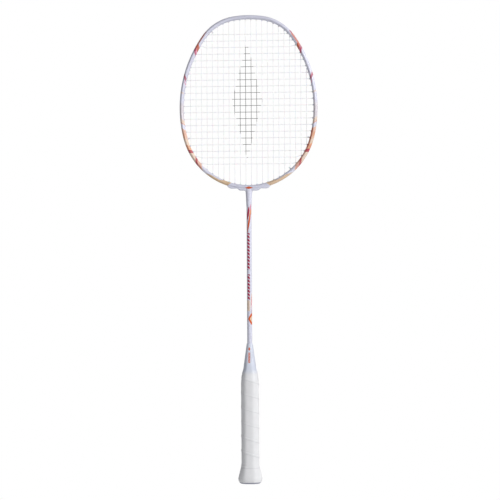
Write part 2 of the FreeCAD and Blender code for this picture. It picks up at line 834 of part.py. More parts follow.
def make_cone_cap():
    """Eight-sided cone from the shaft to the grip, with a socket for the handle's neck."""
    body = new_body("cone_cap_body")
    octagon_loft(body, "AdditiveLoft", "cone", [
        ("cone_skirt_low", "cone_skirt_half", "cone_skirt_half - flatness"),
        ("cone_base", "cone_base_half", "cone_base_half - flatness"),
        ("cone_knee", "cone_knee_half", "cone_knee_half - flatness / 4"),
        ("cone_top", "cone_top_half", "cone_top_half"),
    ])
    bore = new_sketch(body, "cone_bore_circle", XY, "cone_top")
    add_circle(bore, "shaft_radius + fit_gap")
    extrude(body, "Pocket", "cone_bore", bore, "cone_top - neck_top")
    socket = new_sketch(body, "socket_outline", XY, "neck_top + fit_gap")
    octagon(socket, "neck_half + fit_gap", "neck_half + fit_gap - flatness")
    extrude(body, "Pocket", "socket", socket, "neck_top + fit_gap - cone_skirt_low")
    keep("cone_cap", body)


def make_handle_core():
    """Wooden core: foot inside the butt cap, flare, straight octagon and neck for the cone cap."""
    body = new_body("handle_core_body")
    foot = new_sketch(body, "foot_outline", XY, "foot_low")
    octagon(foot, "foot_half", "foot_half - flatness")
    extrude(body, "Pad", "foot", foot, "flare_low - foot_low")
    octagon_loft(body, "AdditiveLoft", "flare_and_shaft", grip_levels([
        ("flare_low", "flare_half"),
        ("flare_top", "core_half"),
        ("core_top", "core_half"),
    ]))
    neck = new_sketch(body, "neck_outline", XY, "core_top")
    octagon(neck, "neck_half", "neck_half - flatness")
    extrude(body, "Pad", "neck", neck, "neck_top - core_top")
    bore = new_sketch(body, "handle_bore_circle", XY, "neck_top")
    add_circle(bore, "shaft_radius + fit_gap")
    extrude(body, "Pocket", "handle_bore", bore, "neck_top - shaft_low + fit_gap")
    cut_pin_hole(body)
    keep("handle_core", cut("handle_core_drilled", body, tack_shank("core_tack_hole", "fit_gap")))


def make_handle_pin():
    """Steel cross pin that locks the shaft in the handle."""
    body = new_body("handle_pin_body")
    circle = new_sketch(body, "pin_circle", XZ)
    add_circle(circle, "pin_radius", "pin_height")
    extrude(body, "Pad", "pin", circle, "pin_length", symmetric=True)
    keep("handle_pin", body)


def make_butt_cap():
    """Plastic cap over the foot of the handle, with a flat base and a recess for the medallion."""
    body = new_body("butt_cap_body")
    octagon_loft(body, "AdditiveLoft", "cup", grip_levels([
        ("0", "butt_base_half"),
        ("butt_lip", "butt_lip_half"),
        ("wrap_bulge", "butt_bulge_half"),
        ("flare_low", "butt_top_half"),
    ]))
    socket = new_sketch(body, "cup_outline", XY, "flare_low")
    octagon(socket, "foot_half + fit_gap", "foot_half + fit_gap - flatness")
    extrude(body, "Pocket", "cup_socket", socket, "flare_low - foot_low + fit_gap")
    recess = new_sketch(body, "recess_circle", XY, "medallion_recess")
    add_circle(recess, "medallion_radius + fit_gap")
    extrude(body, "Pocket", "recess", recess, "medallion_recess")
    keep("butt_cap", body)


def make_butt_medallion():
    """Blank disc let into the base of the butt cap."""
    body = new_body("butt_medallion_body")
    circle = new_sketch(body, "medallion_circle", XY, "medallion_recess - medallion_thick")
    add_circle(circle, "medallion_radius")
    extrude(body, "Pad", "medallion", circle, "medallion_thick")
    keep("butt_medallion", body)


# ---------------------------------------------------------------------------------------------
# Grip

WRAP_SEAT = "core_half + underlay_thick"


def sleeve(label, outside, inside):
    """A sleeve between an outer and an inner loft of the handle's octagons."""
    body = new_body(label + "_body")
    octagon_loft(body, "AdditiveLoft", "outside", grip_levels(outside))
    octagon_loft(body, "SubtractiveLoft", "inside", grip_levels(inside))
    return body


def tack_shank(name, gap):
    """The grip tack's shank, which enters the back facet of the wood; gap makes it a hole."""
    face = size(f"{WRAP_SEAT} - flatness")
    return cylinder(name, f"tack_shank_radius + {gap}", f"tack_shank_length + {gap}",
                    Vector(0, face, size("tack_height")), Vector(0, -1, 0))


def tack_head(name, gap):
    """The tack's flat head, outside the underlay; gap makes it a recess."""
    face = size(f"{WRAP_SEAT} - flatness - {gap}")
    return cylinder(name, f"tack_head_radius + {gap}", f"tack_head_thick + {gap} * 2",
                    Vector(0, face, size("tack_height")), Vector(0, 1, 0))


def make_grip_underlay():
    """Adhesive underlay between the wood and the grip."""
    body = sleeve("grip_underlay", [
        ("flare_low", "flare_half + underlay_thick"),
        ("flare_top", WRAP_SEAT),
        ("core_top", WRAP_SEAT),
    ], [
        ("flare_low", "flare_half"),
        ("flare_top", "core_half"),
        ("core_top", "core_half"),
    ])
    tack_hole = tack_shank("underlay_tack_hole", "fit_gap")
    keep("grip_underlay", cut("grip_underlay_pierced", body, tack_hole))


def make_grip_wrap():
    """The wound grip as one sleeve, from the butt's flare to the tapered end over the cone cap."""
    seat = f"{WRAP_SEAT} + fit_gap"
    body = sleeve("grip_wrap", [
        ("wrap_low", "wrap_low_half"),
        ("wrap_bulge", "wrap_bulge_half"),
        ("flare_low", "flare_half + underlay_thick + wrap_thick"),
        ("flare_top", "core_half + underlay_thick + wrap_thick"),
        ("wrap_shoulder", "core_half + underlay_thick + wrap_thick"),
        ("wrap_top", "wrap_top_half"),
    ], [
        ("wrap_low", "butt_bulge_half + fit_gap"),
        ("wrap_bulge", "butt_bulge_half + fit_gap"),
        ("flare_low", "flare_half + underlay_thick + fit_gap"),
        ("flare_top", seat),
        ("core_top", seat),
        ("wrap_step", "cone_skirt_half + fit_gap"),
        ("wrap_top", "wrap_top_half - wrap_edge"),
    ])
    keep("grip_wrap", cut("grip_wrap_recessed", body, tack_head("wrap_tack_recess", "fit_gap")))


def make_finishing_tape():
    """Thin tape that closes the grip's upper edge on the cone cap."""
    levels = [
        ("tape_low", "tape_low_half"),
        ("wrap_top", "wrap_top_half + fit_gap"),
        ("tape_step", "tape_step_half"),
        ("tape_top", "cone_base_half + fit_gap"),
    ]
    thicker = [(height, f"{half} + tape_thick") for height, half in levels]
    keep("finishing_tape", sleeve("finishing_tape", thicker, levels))


def make_grip_tack():
    """Steel tack through the start of the grip, on the back facet near the butt."""
    tack = doc.addObject("Part::MultiFuse", "grip_tack_whole")
    tack.Shapes = [tack_shank("tack_shank", "0"), tack_head("tack_head", "0")]
    keep("grip_tack", tack)


# ---------------------------------------------------------------------------------------------

def check_document():
    """Stop on any failed feature and on any sub-part that isn't sound."""
    for item in doc.Objects:
        if "Invalid" in item.State or "Error" in item.State:
            raise RuntimeError(f"{item.Label} failed: {item.State}")
    for label, item in nodes.items():
        if item.Shape.isNull() or not item.Shape.isValid() or not item.Shape.Solids:
            raise RuntimeError(f"{label} isn't a sound solid")
        print(f"{label}: {len(item.Shape.Solids)} solid(s), {item.Shape.Volume / 1000:.3f} cm3")


drills = string_holes()
make_head_frame(drills)
make_throat_yoke(drills)
make_t_core(drills)
make_grommet_groups()
make_string("main_string", *main_route())
make_string("cross_string", *cross_route())
make_shaft()
make_cone_cap()
make_handle_core()
make_handle_pin()
make_butt_cap()
make_butt_medallion()
make_grip_underlay()
make_grip_wrap()
make_finishing_tape()
make_grip_tack()
doc.recompute()
check_document()

spacing = [run_length(a, b) for a, b in zip(HOLES, HOLES[1:]) if a * b > 0]
print(f"{len(HOLES)} string holes, closest {min(spacing):.2f} mm apart")

os.makedirs("parts", exist_ok=True)
for label, item in nodes.items():
    item.Shape.exportStep(f"parts/{label}.step")
print(f"{len(nodes)} nodes written")
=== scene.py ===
from collections import namedtuple
from functools import cache
from math import acos, asin, atan2, copysign, cos, degrees, exp, floor, hypot, pi, radians, sin, sqrt

import bmesh
import bpy
from mathutils import Matrix, Vector, noise


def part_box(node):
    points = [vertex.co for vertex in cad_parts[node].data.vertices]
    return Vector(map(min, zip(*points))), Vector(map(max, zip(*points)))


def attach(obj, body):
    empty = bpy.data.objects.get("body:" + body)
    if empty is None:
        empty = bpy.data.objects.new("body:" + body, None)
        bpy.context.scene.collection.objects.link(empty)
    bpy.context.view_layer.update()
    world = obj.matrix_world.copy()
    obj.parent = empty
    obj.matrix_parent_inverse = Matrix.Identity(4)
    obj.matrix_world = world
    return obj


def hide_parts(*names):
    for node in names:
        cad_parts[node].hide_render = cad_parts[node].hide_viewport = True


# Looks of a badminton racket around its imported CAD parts. The racket stands on its butt: +Z runs up
# to the crown of the head, the strings lie in the XZ plane and the front face looks along -Y.
# Shapes are worked out in millimetres and become meshes in metres.

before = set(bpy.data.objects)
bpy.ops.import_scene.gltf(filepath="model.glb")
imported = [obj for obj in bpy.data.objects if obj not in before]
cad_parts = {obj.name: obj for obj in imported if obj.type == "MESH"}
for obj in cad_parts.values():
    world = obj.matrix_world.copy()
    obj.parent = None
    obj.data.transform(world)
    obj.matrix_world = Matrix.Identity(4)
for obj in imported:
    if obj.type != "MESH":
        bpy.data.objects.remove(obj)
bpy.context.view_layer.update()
MM = 0.001
ORIGIN, UP = Vector((0, 0, 0)), Vector((0, 0, 1))


@cache
def extent(node):
    """A CAD node's lowest and highest corners, in millimetres."""
    low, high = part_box(node)
    return low / MM, high / MM


# ---- Outline of the hoop's outer edge. A heading is the direction of the outward normal in degrees
# from +Z, positive on the right. A run is the length along the outline from the crown, and an inset
# is a depth below the outer edge.

CROWN_HEIGHT = extent("head_frame")[1].z
YOKE_REACH = extent("throat_yoke")[1].x
TUBE_WIDTH = 5.8
# Radius and turn of the arcs from the crown down the right side
HOOP_TURNS = [(150, 8), (67.6, 46.6), (179.8, 49.3)]
Arc = namedtuple("Arc", "centre_x centre_z radius start end run")


def hoop_arcs():
    """The right half's four tangent arcs; the last one closes on the racket's axis."""
    arcs = []
    x, z, heading, run = 0, CROWN_HEIGHT, 0, 0
    for radius, turn in HOOP_TURNS:
        centre_x = x - radius * sin(radians(heading))
        centre_z = z - radius * cos(radians(heading))
        arcs.append(Arc(centre_x, centre_z, radius, heading, heading + turn, run))
        heading += turn
        run += radius * radians(turn)
        x = centre_x + radius * sin(radians(heading))
        z = centre_z + radius * cos(radians(heading))
    radius = x / sin(radians(heading))
    arcs.append(Arc(0, z - radius * cos(radians(heading)), radius, heading, 180, run))
    return arcs


ARCS = hoop_arcs()
CHIN = ARCS[-1]
CHIN_TURN = radians(180 - CHIN.start)


def hoop_point(heading, inset, y=0):
    """The outline's point at a heading, moved inwards; past 180 the left side follows."""
    if heading > 180:
        heading -= 360
    turn = abs(heading)
    arc = next(a for a in ARCS if turn <= a.end)
    reach = arc.radius - inset
    x = arc.centre_x + reach * sin(radians(turn))
    z = arc.centre_z + reach * cos(radians(turn))
    return Vector((copysign(x, heading), y, z))


def normal(heading):
    """The outward direction at a heading."""
    return Vector((sin(radians(heading)), 0, cos(radians(heading))))


def heading_at_run(run):
    """Signed heading at a signed length along the outline from the crown."""
    length = abs(run)
    arc = [a for a in ARCS if a.run <= length][-1]
    return copysign(arc.start + degrees((length - arc.run) / arc.radius), run)


def heading_at_x(x, inset, lower):
    """Heading of the inset outline at x, on its upper or lower half."""
    for arc in ARCS:
        sine = (x - arc.centre_x) / (arc.radius - inset)
        if abs(sine) <= 1:
            heading = degrees(asin(sine))
            heading = 180 - heading if lower else heading
            if arc.start <= heading <= arc.end:
                return heading
    raise ValueError("no outline at this x")


def heading_at_z(z, inset):
    """Heading of the inset outline at a height."""
    for arc in ARCS:
        cosine = (z - arc.centre_z) / (arc.radius - inset)
        if abs(cosine) <= 1 and arc.start <= degrees(acos(cosine)) <= arc.end:
            return degrees(acos(cosine))
    raise ValueError("no outline at this height")


def run_between(first, last):
    """Length along the outline between two headings of one side."""
    low, high = sorted((abs(first), abs(last)))
    spans = [(a.radius, min(a.end, high) - max(a.start, low)) for a in ARCS]
    return sum(radius * radians(span) for radius, span in spans if span > 0)


def place_on_hoop(x, z):
    """Run and inset of a point near the hoop."""
    for arc in ARCS:
        across, up = abs(x) - arc.centre_x, z - arc.centre_z
        heading = degrees(atan2(across, up)) % 360
        if heading <= arc.end or arc is CHIN:
            run = arc.run + arc.radius * radians(heading - arc.start)
            return run, arc.radius - hypot(across, up)


# ---- Meshes

class Shape:
    """Points and faces gathered before they become one piece."""

    def __init__(self):
        self.points = []
        self.faces = []

    def add(self, points, faces):
        start = len(self.points)
        self.points += points
        self.faces += [[start + i for i in face] for face in faces]

    def skin(self, rings, closed=False, caps=True):
        """A skin over equal rings, capped at both ends unless it closes on itself."""
        size = len(rings[0])
        last = len(rings) if closed else len(rings) - 1
        faces = []
        for r in range(last):
            a, b = r * size, (r + 1) % len(rings) * size
            faces += [(a + i, a + (i + 1) % size, b + (i + 1) % size, b + i) for i in range(size)]
        if caps and not closed:
            faces.append(tuple(range(size))[::-1])
            faces.append(tuple(range(len(rings) * size - size, len(rings) * size)))
        self.add([point for ring in rings for point in ring], faces)


WELD = 0.002


def make_mesh(name, shape):
    """A mesh object in metres, with outward normals."""
    mesh = bpy.data.meshes.new(name)
    mesh.from_pydata([point * MM for point in shape.points], [], shape.faces)
    piece = bpy.data.objects.new(name, mesh)
    bpy.context.scene.collection.objects.link(piece)
    editable = bmesh.new()
    editable.from_mesh(mesh)
    bmesh.ops.remove_doubles(editable, verts=editable.verts, dist=WELD * MM)
    bmesh.ops.dissolve_degenerate(editable, edges=editable.edges, dist=WELD * MM)
    bmesh.ops.recalc_face_normals(editable, faces=editable.faces)
    editable.to_mesh(mesh)
    editable.free()
    return piece


def make_skin(name, rings, closed=False):
    shape = Shape()
    shape.skin(rings, closed)
    return make_mesh(name, shape)


def finish_piece(piece, material, node, sharp=40):
    """Shade a piece and fasten it to the racket in place of its CAD node."""
    piece.data.materials.append(material)
    piece.data.shade_smooth()
    piece.data.set_sharp_from_angle(angle=radians(sharp))
    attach(piece, "root")
    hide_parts(node)


def apply_modifiers(piece):
    """Turn a piece's modifiers into plain mesh."""
    evaluated = piece.evaluated_get(bpy.context.evaluated_depsgraph_get())
    mesh = bpy.data.meshes.new_from_object(evaluated)
    piece.modifiers.clear()
    piece.data = mesh


def eased(t):
    """A smooth step from 0 to 1."""
    t = min(1, max(0, t))
    return t * t * (3 - 2 * t)


# A corner's curve takes less than half of each of the two sides that meet there
SIDE_PARTS = 2.1


def corner_curve(before, here, after, reach, steps):
    """The curve that eases a corner, within reach of it."""
    back, on = before - here, after - here
    start = here + back.normalized() * min(reach, back.length / SIDE_PARTS)
    end = here + on.normalized() * min(reach, on.length / SIDE_PARTS)
    shares = [step / steps for step in range(steps + 1)]
    return [start * (1 - t) ** 2 + here * 2 * t * (1 - t) + end * t ** 2 for t in shares]


def rounded(corners, steps=4):
    """A closed outline through eased corners (across, along, reach)."""
    places = [Vector(corner[:2]) for corner in corners]
    outline = []
    for i, corner in enumerate(corners):
        after = places[(i + 1) % len(places)]
        outline += corner_curve(places[i - 1], places[i], after, corner[2], steps)
    return outline


def soft_corners(points, reach, steps=3, least_turn=20):
    """A path whose sharp corners are replaced by short curves."""
    path = [points[0]]
    for before, here, after in zip(points, points[1:], points[2:]):
        if degrees((before - here).angle(here - after)) < least_turn:
            path.append(here)
        else:
            path += corner_curve(before, here, after, reach, steps)
    return path + [points[-1]]


def turns_of(sides):
    return [2 * pi * i / sides for i in range(sides)]


def circle(centre, across, other, radius, sides):
    return [centre + (across * cos(a) + other * sin(a)) * radius for a in turns_of(sides)]


def lathe_rings(profile, base, direction, sides):
    """Rings of (radius, height) pairs turned about a direction from a base point."""
    across = direction.orthogonal().normalized()
    other = direction.cross(across)
    return [circle(base + direction * height, across, other, radius, sides) for radius, height in profile]


def tube_rings(points, radius, sides):
    """Rings along a path, each turned as little as possible from the last."""
    rings = []
    across = (points[1] - points[0]).orthogonal().normalized()
    for i, point in enumerate(points):
        along = (points[min(i + 1, len(points) - 1)] - points[max(i - 1, 0)]).normalized()
        across = (across - along * across.dot(along)).normalized()
        rings.append(circle(point, across, along.cross(across), radius, sides))
    return rings


def store(piece, name, amounts):
    """Keep one number for each point of a piece, for its paint to read."""
    attribute = piece.data.attributes.new(name, "FLOAT", "POINT")
    attribute.data.foreach_set("value", amounts)


# ---- Materials. A Field is a number that varies over a surface; arithmetic on it adds Math nodes.

def add_node(tree, kind, inputs, **settings):
    """A shader node; its inputs take numbers, colours or other nodes' outputs."""
    node = tree.nodes.new("ShaderNode" + kind)
    for name, amount in settings.items():
        setattr(node, name, amount)
    for name, source in inputs.items():
        if isinstance(source, bpy.types.NodeSocket):
            tree.links.new(source, node.inputs[name])
        else:
            node.inputs[name].default_value = source
    return node


class Field:
    def __init__(self, tree, socket):
        self.tree = tree
        self.socket = socket

    def math(self, operation, *others):
        terms = [term.socket if isinstance(term, Field) else term for term in (self,) + others]
        node = add_node(self.tree, "Math", dict(enumerate(terms)), operation=operation)
        return Field(self.tree, node.outputs[0])

    def __add__(self, other):
        return self.math("ADD", other)

    def __sub__(self, other):
        return self.math("SUBTRACT", other)

    def __mul__(self, other):
        return self.math("MULTIPLY", other)

    def size(self):
        return self.math("ABSOLUTE")

    def inverse(self):
        """1 where this is 0, and 0 where it is 1."""
        return self.math("MULTIPLY_ADD", -1, 1)

    def rise(self, low, high, start=0, end=1):
        """A smooth step from start to end as this goes from low to high."""
        inputs = {"Value": self.socket, "From Min": low, "From Max": high, "To Min": start, "To Max": end}
        node = add_node(self.tree, "MapRange", inputs, interpolation_type="SMOOTHSTEP")
        return Field(self.tree, node.outputs["Result"])

    def band(self, low, high, soft):
        """1 between low and high, with edges this soft."""
        inside = self.rise(low - soft / 2, low + soft / 2)
        return inside * self.rise(high - soft / 2, high + soft / 2).inverse()


class Surface:
    """A material in the making: its coordinates in millimetres, its colour and its relief."""

    def __init__(self, name, colour, **constants):
        self.material = bpy.data.materials.new(name)
        self.material.use_nodes = True
        self.tree = self.material.node_tree
        self.shader = self.tree.nodes["Principled BSDF"]
        self.shader.inputs["Base Color"].default_value = colour
        for key, amount in constants.items():
            self.shader.inputs[key.replace("_", " ").title().replace("Ior", "IOR")].default_value = amount
        first = add_node(self.tree, "RGB", {})
        first.outputs[0].default_value = colour
        self.colour = first.outputs[0]
        self.bumps = {}
        metres = add_node(self.tree, "TexCoord", {}).outputs["Object"]
        scale = add_node(self.tree, "VectorMath", {0: metres, "Scale": 1 / MM}, operation="SCALE")
        self.place = scale.outputs[0]

    def axes(self):
        """The x, y and z of each point, in millimetres."""
        node = add_node(self.tree, "SeparateXYZ", {0: self.place})
        return [Field(self.tree, node.outputs[axis]) for axis in "XYZ"]

    def attribute(self, name):
        """A number stored on the mesh's points."""
        return Field(self.tree, add_node(self.tree, "Attribute", {}, attribute_name=name).outputs["Fac"])

    def pattern(self, kind, output, scales, **inputs):
        """An output of a procedural texture, with its own scale along each axis."""
        squash = add_node(self.tree, "Mapping", {"Vector": self.place, "Scale": scales})
        node = add_node(self.tree, kind, {"Vector": squash.outputs[0], "Scale": 1, **inputs})
        return Field(self.tree, node.outputs[output])

    def grain(self, size, detail=2, stretch=(1, 1, 1)):
        """Noise from 0 to 1 whose features are about size wide, in millimetres."""
        return self.pattern("TexNoise", 0, [1 / (size * s) for s in stretch], Detail=detail)

    def cells(self, size):
        """Distance to the middle of irregular cells about size wide, up to about 1."""
        return self.pattern("TexVoronoi", "Distance", [1 / size] * 3)

    def paint(self, colour, mask):
        """Lay a colour over the present one where mask is 1."""
        node = add_node(self.tree, "Mix", {0: mask.socket, 6: self.colour, 7: colour}, data_type="RGBA")
        self.colour = node.outputs[2]

    def shade(self, amount):
        """Multiply the present colour by a Field near 1."""
        inputs = {0: self.colour, "Scale": amount.socket}
        self.colour = add_node(self.tree, "VectorMath", inputs, operation="SCALE").outputs[0]

    def vary(self, noise_field, low, high):
        """Multiply the present colour by a factor that follows a noise."""
        self.shade(noise_field.rise(0.3, 0.7, low, high))

    def gloss(self, noise_field, low, high):
        """Let the roughness follow a noise."""
        roughness = noise_field.rise(0.3, 0.7, low, high)
        self.tree.links.new(roughness.socket, self.shader.inputs["Roughness"])

    def relief(self, field, height):
        """Bump the surface by a Field from 0 to 1, height millimetres high."""
        inputs = {"Height": field.socket, "Distance": height * MM, **self.bumps}
        self.bumps = {"Normal": add_node(self.tree, "Bump", inputs).outputs[0]}

    def done(self):
        self.tree.links.new(self.colour, self.shader.inputs["Base Color"])
        if self.bumps:
            self.tree.links.new(self.bumps["Normal"], self.shader.inputs["Normal"])
        return self.material

    def textured(self, noise_field, shades, glosses, height):
        """Finish with one noise for the shading, the gloss and the relief."""
        self.vary(noise_field, *shades)
        self.gloss(noise_field, *glosses)
        self.relief(noise_field, height)
        return self.done()


def rgb(red, green, blue):
    """A linear colour from display values of 0 to 255."""
    def linear(amount):
        amount = amount / 255
        return amount / 12.92 if amount <= 0.04045 else ((amount + 0.055) / 1.055) ** 2.4
    return (linear(red), linear(green), linear(blue), 1)


PEARL = rgb(217, 217, 232)
CONE_PEARL = rgb(213, 218, 231)
CRIMSON = rgb(178, 34, 68)
ROSE = rgb(232, 132, 160)
ORANGE = rgb(214, 92, 38)
RUST = rgb(196, 88, 44)
APRICOT = rgb(224, 158, 116)
PEACH = rgb(230, 203, 178)
BLUSH = rgb(224, 178, 158)
TAN = rgb(218, 188, 154)


def lozenge(x, z, middle, half):
    """0 in the middle of an upright lozenge and 1 on its edges."""
    return (x - middle[0]).size() * (1 / half[0]) + (z - middle[1]).size() * (1 / half[1])


# A leaf of paint from its tip to its tail, both (x, z), with its width in the middle
Leaf = namedtuple("Leaf", "tip tail width colour strength")


def paint_leaf(surface, leaf):
    x, _, z = surface.axes()
    along_x, along_z = leaf.tail[0] - leaf.tip[0], leaf.tail[1] - leaf.tip[1]
    length = hypot(along_x, along_z)
    unit_x, unit_z = along_x / length, along_z / length
    from_x, from_z = x - leaf.tip[0], z - leaf.tip[1]
    along = (from_x * unit_x + from_z * unit_z) * (1 / length)
    aside = (from_x * unit_z - from_z * unit_x).size()
    belly = along * along.inverse() * (2 * leaf.width)
    surface.paint(leaf.colour, (belly - aside).rise(-0.15, 0.25) * leaf.strength)


def pearl_paint(name, colour=PEARL):
    """Pearl lacquer under a thin clear coat."""
    return Surface(name, colour, metallic=0.06, coat_weight=0.12, coat_roughness=0.12,
                   specular_ior_level=0.3)


def finish_pearl(surface, roughness=0.4):
    """Fine flakes, faint clouds and an uneven gloss over the paint."""
    surface.vary(surface.grain(0.22, detail=1), 0.955, 1.03)
    surface.vary(surface.grain(14), 0.985, 1.015)
    surface.gloss(surface.grain(6, detail=3), roughness - 0.05, roughness + 0.06)
    surface.relief(surface.grain(1.6, detail=1), 0.006)
    return surface.done()


# Slanted bands of the hoop's paint: where each starts and ends along the outline at the outer
# edge, how far it leans for each millimetre of depth, its colour, its strength, how soft its
# ends are, and the depths between which it shows.
Stripe = namedtuple("Stripe", "start end lean colour strength soft top bottom", defaults=(-1, 7))
HOOP_STRIPES = [
    Stripe(66.5, 72, 0.4, CRIMSON, 0.7, 1.6, bottom=1.9),
    Stripe(71.5, 86.5, 0.3, RUST, 0.8, 1.4, bottom=2.7),
    Stripe(85, 92.3, 1.25, RUST, 0.95, 0.7),
    Stripe(92, 96.5, 1.35, ROSE, 0.8, 0.8, top=2.6),
    Stripe(92.3, 98.2, 1.2, CRIMSON, 0.92, 0.8, bottom=3.4),
    Stripe(95.6, 98.8, 1.25, CRIMSON, 0.85, 0.8, top=2.6),
    Stripe(135, 140.5, 1.4, CRIMSON, 0.8, 1, bottom=5.2),
    Stripe(141.5, 144, 1.5, ROSE, 0.7, 1.2, top=3, bottom=6),
    Stripe(162, 164.6, 0.3, PEACH, 0.6, 1.4, bottom=5),
    Stripe(180, 204, 0, TAN, 0.28, 10),
    Stripe(200.5, 207.8, 0.75, PEACH, 0.85, 4),
    Stripe(206.2, 207.6, 0.85, ORANGE, 0.6, 1),
    Stripe(214.8, 287, 0.95, PEACH, 0.95, 1),
    Stripe(214.8, 228, 0.95, BLUSH, 0.9, 3),
    Stripe(222, 232, 0.9, APRICOT, 0.6, 4, bottom=3),
    Stripe(239.5, 248.6, 0.9, APRICOT, 0.75, 2.4),
    Stripe(240.5, 248.6, 0.9, ORANGE, 0.4, 2.4, bottom=2.2),
    Stripe(248.4, 253.6, 0.55, CRIMSON, 0.92, 0.9),
    Stripe(271, 287.5, -1.5, BLUSH, 1, 0.8),
    Stripe(272.5, 277.5, -1.6, CRIMSON, 0.85, 1.4),
    Stripe(276, 285.5, -1.9, CRIMSON, 0.34, 2.4, bottom=2.6),
    Stripe(287, 299, -1.45, PEARL, 1, 0.8),
]
# The bands that only the right limb has, along its inner edge
RIGHT_STRIPES = [
    Stripe(215.5, 247, 0.4, RUST, 0.85, 2, top=3.4),
    Stripe(256, 276, -0.6, RUST, 0.5, 4, top=3.8),
]
TAN_END, TAN_END_LEAN = 328.5, 0.8


def hoop_graphics(surface):
    """Slanted bands, the tan ends of the limbs, and a painted highlight that pales the right limb's tan."""
    run, depth = surface.attribute("run"), surface.attribute("inset")
    right_side = surface.axes()[0].rise(-1, 1)
    mottle = surface.grain(2.4, detail=3).rise(0.25, 0.6, 0.72, 1)
    for stripe in HOOP_STRIPES + RIGHT_STRIPES:
        band = (run - depth * stripe.lean).band(stripe.start, stripe.end, stripe.soft)
        shown = depth.band(stripe.top, stripe.bottom, 0.8)
        side = right_side if stripe in RIGHT_STRIPES else 1
        surface.paint(stripe.colour, band * shown * mottle * side * stripe.strength)
    reach = run.rise(286, 303, -0.8, 3.6) + run.rise(314, 325, 0, 3.4)
    tan = (reach - depth).rise(-0.7, 0.7)
    end = (run - depth * TAN_END_LEAN).rise(TAN_END - 0.3, TAN_END + 0.3).inverse()
    surface.paint(TAN, tan * end)
    # Painted highlight: the right limb's tan is paled with peach, as if lit more strongly from the right.
    surface.paint(PEACH, tan * end * right_side * 0.4)


def frame_material():
    surface = pearl_paint("frame_pearl")
    hoop_graphics(surface)
    return finish_pearl(surface)


# The leaf that starts on the stem and runs on down the shaft
PINK_LEAF = Leaf((2.9, 403.5), (1.2, 388), 1.6, ROSE, 0.9)


def yoke_material():
    """Pearl with the tan limb ends, and a plain lozenge on the throat, front and back."""
    surface = pearl_paint("yoke_pearl")
    hoop_graphics(surface)
    x, y, z = surface.axes()
    throat = lozenge(x, z, (0.5, 426.2), (6.4, 2))
    surface.paint(ORANGE, throat.rise(0.85, 1.05).inverse() * y.size().rise(1.8, 2.2))
    paint_leaf(surface, PINK_LEAF)
    return finish_pearl(surface)


UPPER_LEAVES = [
    PINK_LEAF,
    Leaf((3.3, 396.5), (0.4, 381), 2.2, APRICOT, 1),
    Leaf((2.6, 391), (-2.6, 360), 2.6, ORANGE, 1),
    Leaf((0.4, 383), (-2, 362.5), 1.9, ORANGE, 1),
    Leaf((0.4, 400), (-2.2, 379), 2.9, CRIMSON, 1),
]
LOWER_LEAVES = [
    Leaf((3.4, 276), (1.8, 249), 1.6, PEACH, 0.8),
    Leaf((3.7, 274), (2.9, 252), 0.9, ROSE, 0.8),
    Leaf((3.5, 253), (3.2, 244.5), 0.6, CRIMSON, 0.8),
]
WEDGE_MIDDLE = 237.2
DASH_PITCH = 4.9
DASH_ROWS = [(308, 361), (265, 301.5)]


def shaft_dashes(x, z):
    """Two rows of short slanted dashes along the left half of the shaft."""
    phase = (z + x * 0.8 + x.size() * 0.3).math("PINGPONG", DASH_PITCH / 2)
    strokes = phase.rise(DASH_PITCH * 0.14, DASH_PITCH * 0.18) * x.band(-2.4, 1.1, 0.3)
    upper, lower = [z.band(low, high, 0.3) for low, high in DASH_ROWS]
    return strokes * (upper + lower)


def shaft_wedge(x, z, tip_x, half_height):
    """A wedge that opens to the right from its tip."""
    away = (z - WEDGE_MIDDLE).size()
    slopes = (away * 0.55 - (x - tip_x)).rise(-0.2, 0.2).inverse()
    return slopes * away.rise(half_height - 0.4, half_height + 0.4).inverse()


def shaft_material():
    """Pearl with leaves of colour, rows of plain slanted dashes, a tan panel and a wedge."""
    surface = pearl_paint("shaft_pearl")
    x, _, z = surface.axes()
    for leaf in UPPER_LEAVES:
        paint_leaf(surface, leaf)
    surface.paint(CRIMSON, shaft_dashes(x, z))
    panel = x.band(-4.5, 0.8, 0.5) * z.band(248.4, 264, 0.7)
    surface.paint(PEACH, panel * 0.9)
    for leaf in LOWER_LEAVES:
        paint_leaf(surface, leaf)
    surface.paint(ORANGE, shaft_wedge(x, z, -1.9, 8.2))
    surface.paint(PEACH, shaft_wedge(x, z, 0.9, 4.8))
    return finish_pearl(surface, 0.36)


def cone_material():
    """A cooler pearl, with a small lozenge and a row of plain bars on the front facet."""
    surface = pearl_paint("cone_pearl", CONE_PEARL)
    x, y, z = surface.axes()
    front = y.rise(-2.2, -1.8).inverse()
    mark = lozenge(x, z, (-0.2, 194), (1.7, 3))
    surface.paint(ORANGE, mark.rise(0.85, 1.05).inverse() * front)
    bars = (z + x * 0.4).math("PINGPONG", 1.1).rise(0.16, 0.3)
    label = (x + 0.2).band(-1.45, 1.45, 0.25) * z.band(174, 188.8, 0.3)
    surface.paint(ORANGE, bars * label * front * 0.92)
    return finish_pearl(surface, 0.36)


def string_material():
    """White braided nylon, with a plain slender diamond stencilled in black on the bed."""
    surface = Surface("string_nylon", rgb(246, 246, 249), roughness=0.38, coat_weight=0.25,
                      coat_roughness=0.2, subsurface_weight=0.15, subsurface_scale=0.4 * MM)
    x, y, z = surface.axes()
    ragged = surface.grain(1.6, detail=3) * 0.12
    ink = (lozenge(x, z, (-2, 551.5), (23, 88.5)) + ragged).rise(1, 1.05).inverse()
    worn = surface.grain(0.5, detail=3).rise(0.2, 0.5, 0.9, 1)
    surface.paint(rgb(16, 16, 20), ink * worn)
    twist = (x + y * 2 + z).math("SINE")
    surface.relief(surface.grain(0.16) + twist * 0.2, 0.02)
    return surface.done()


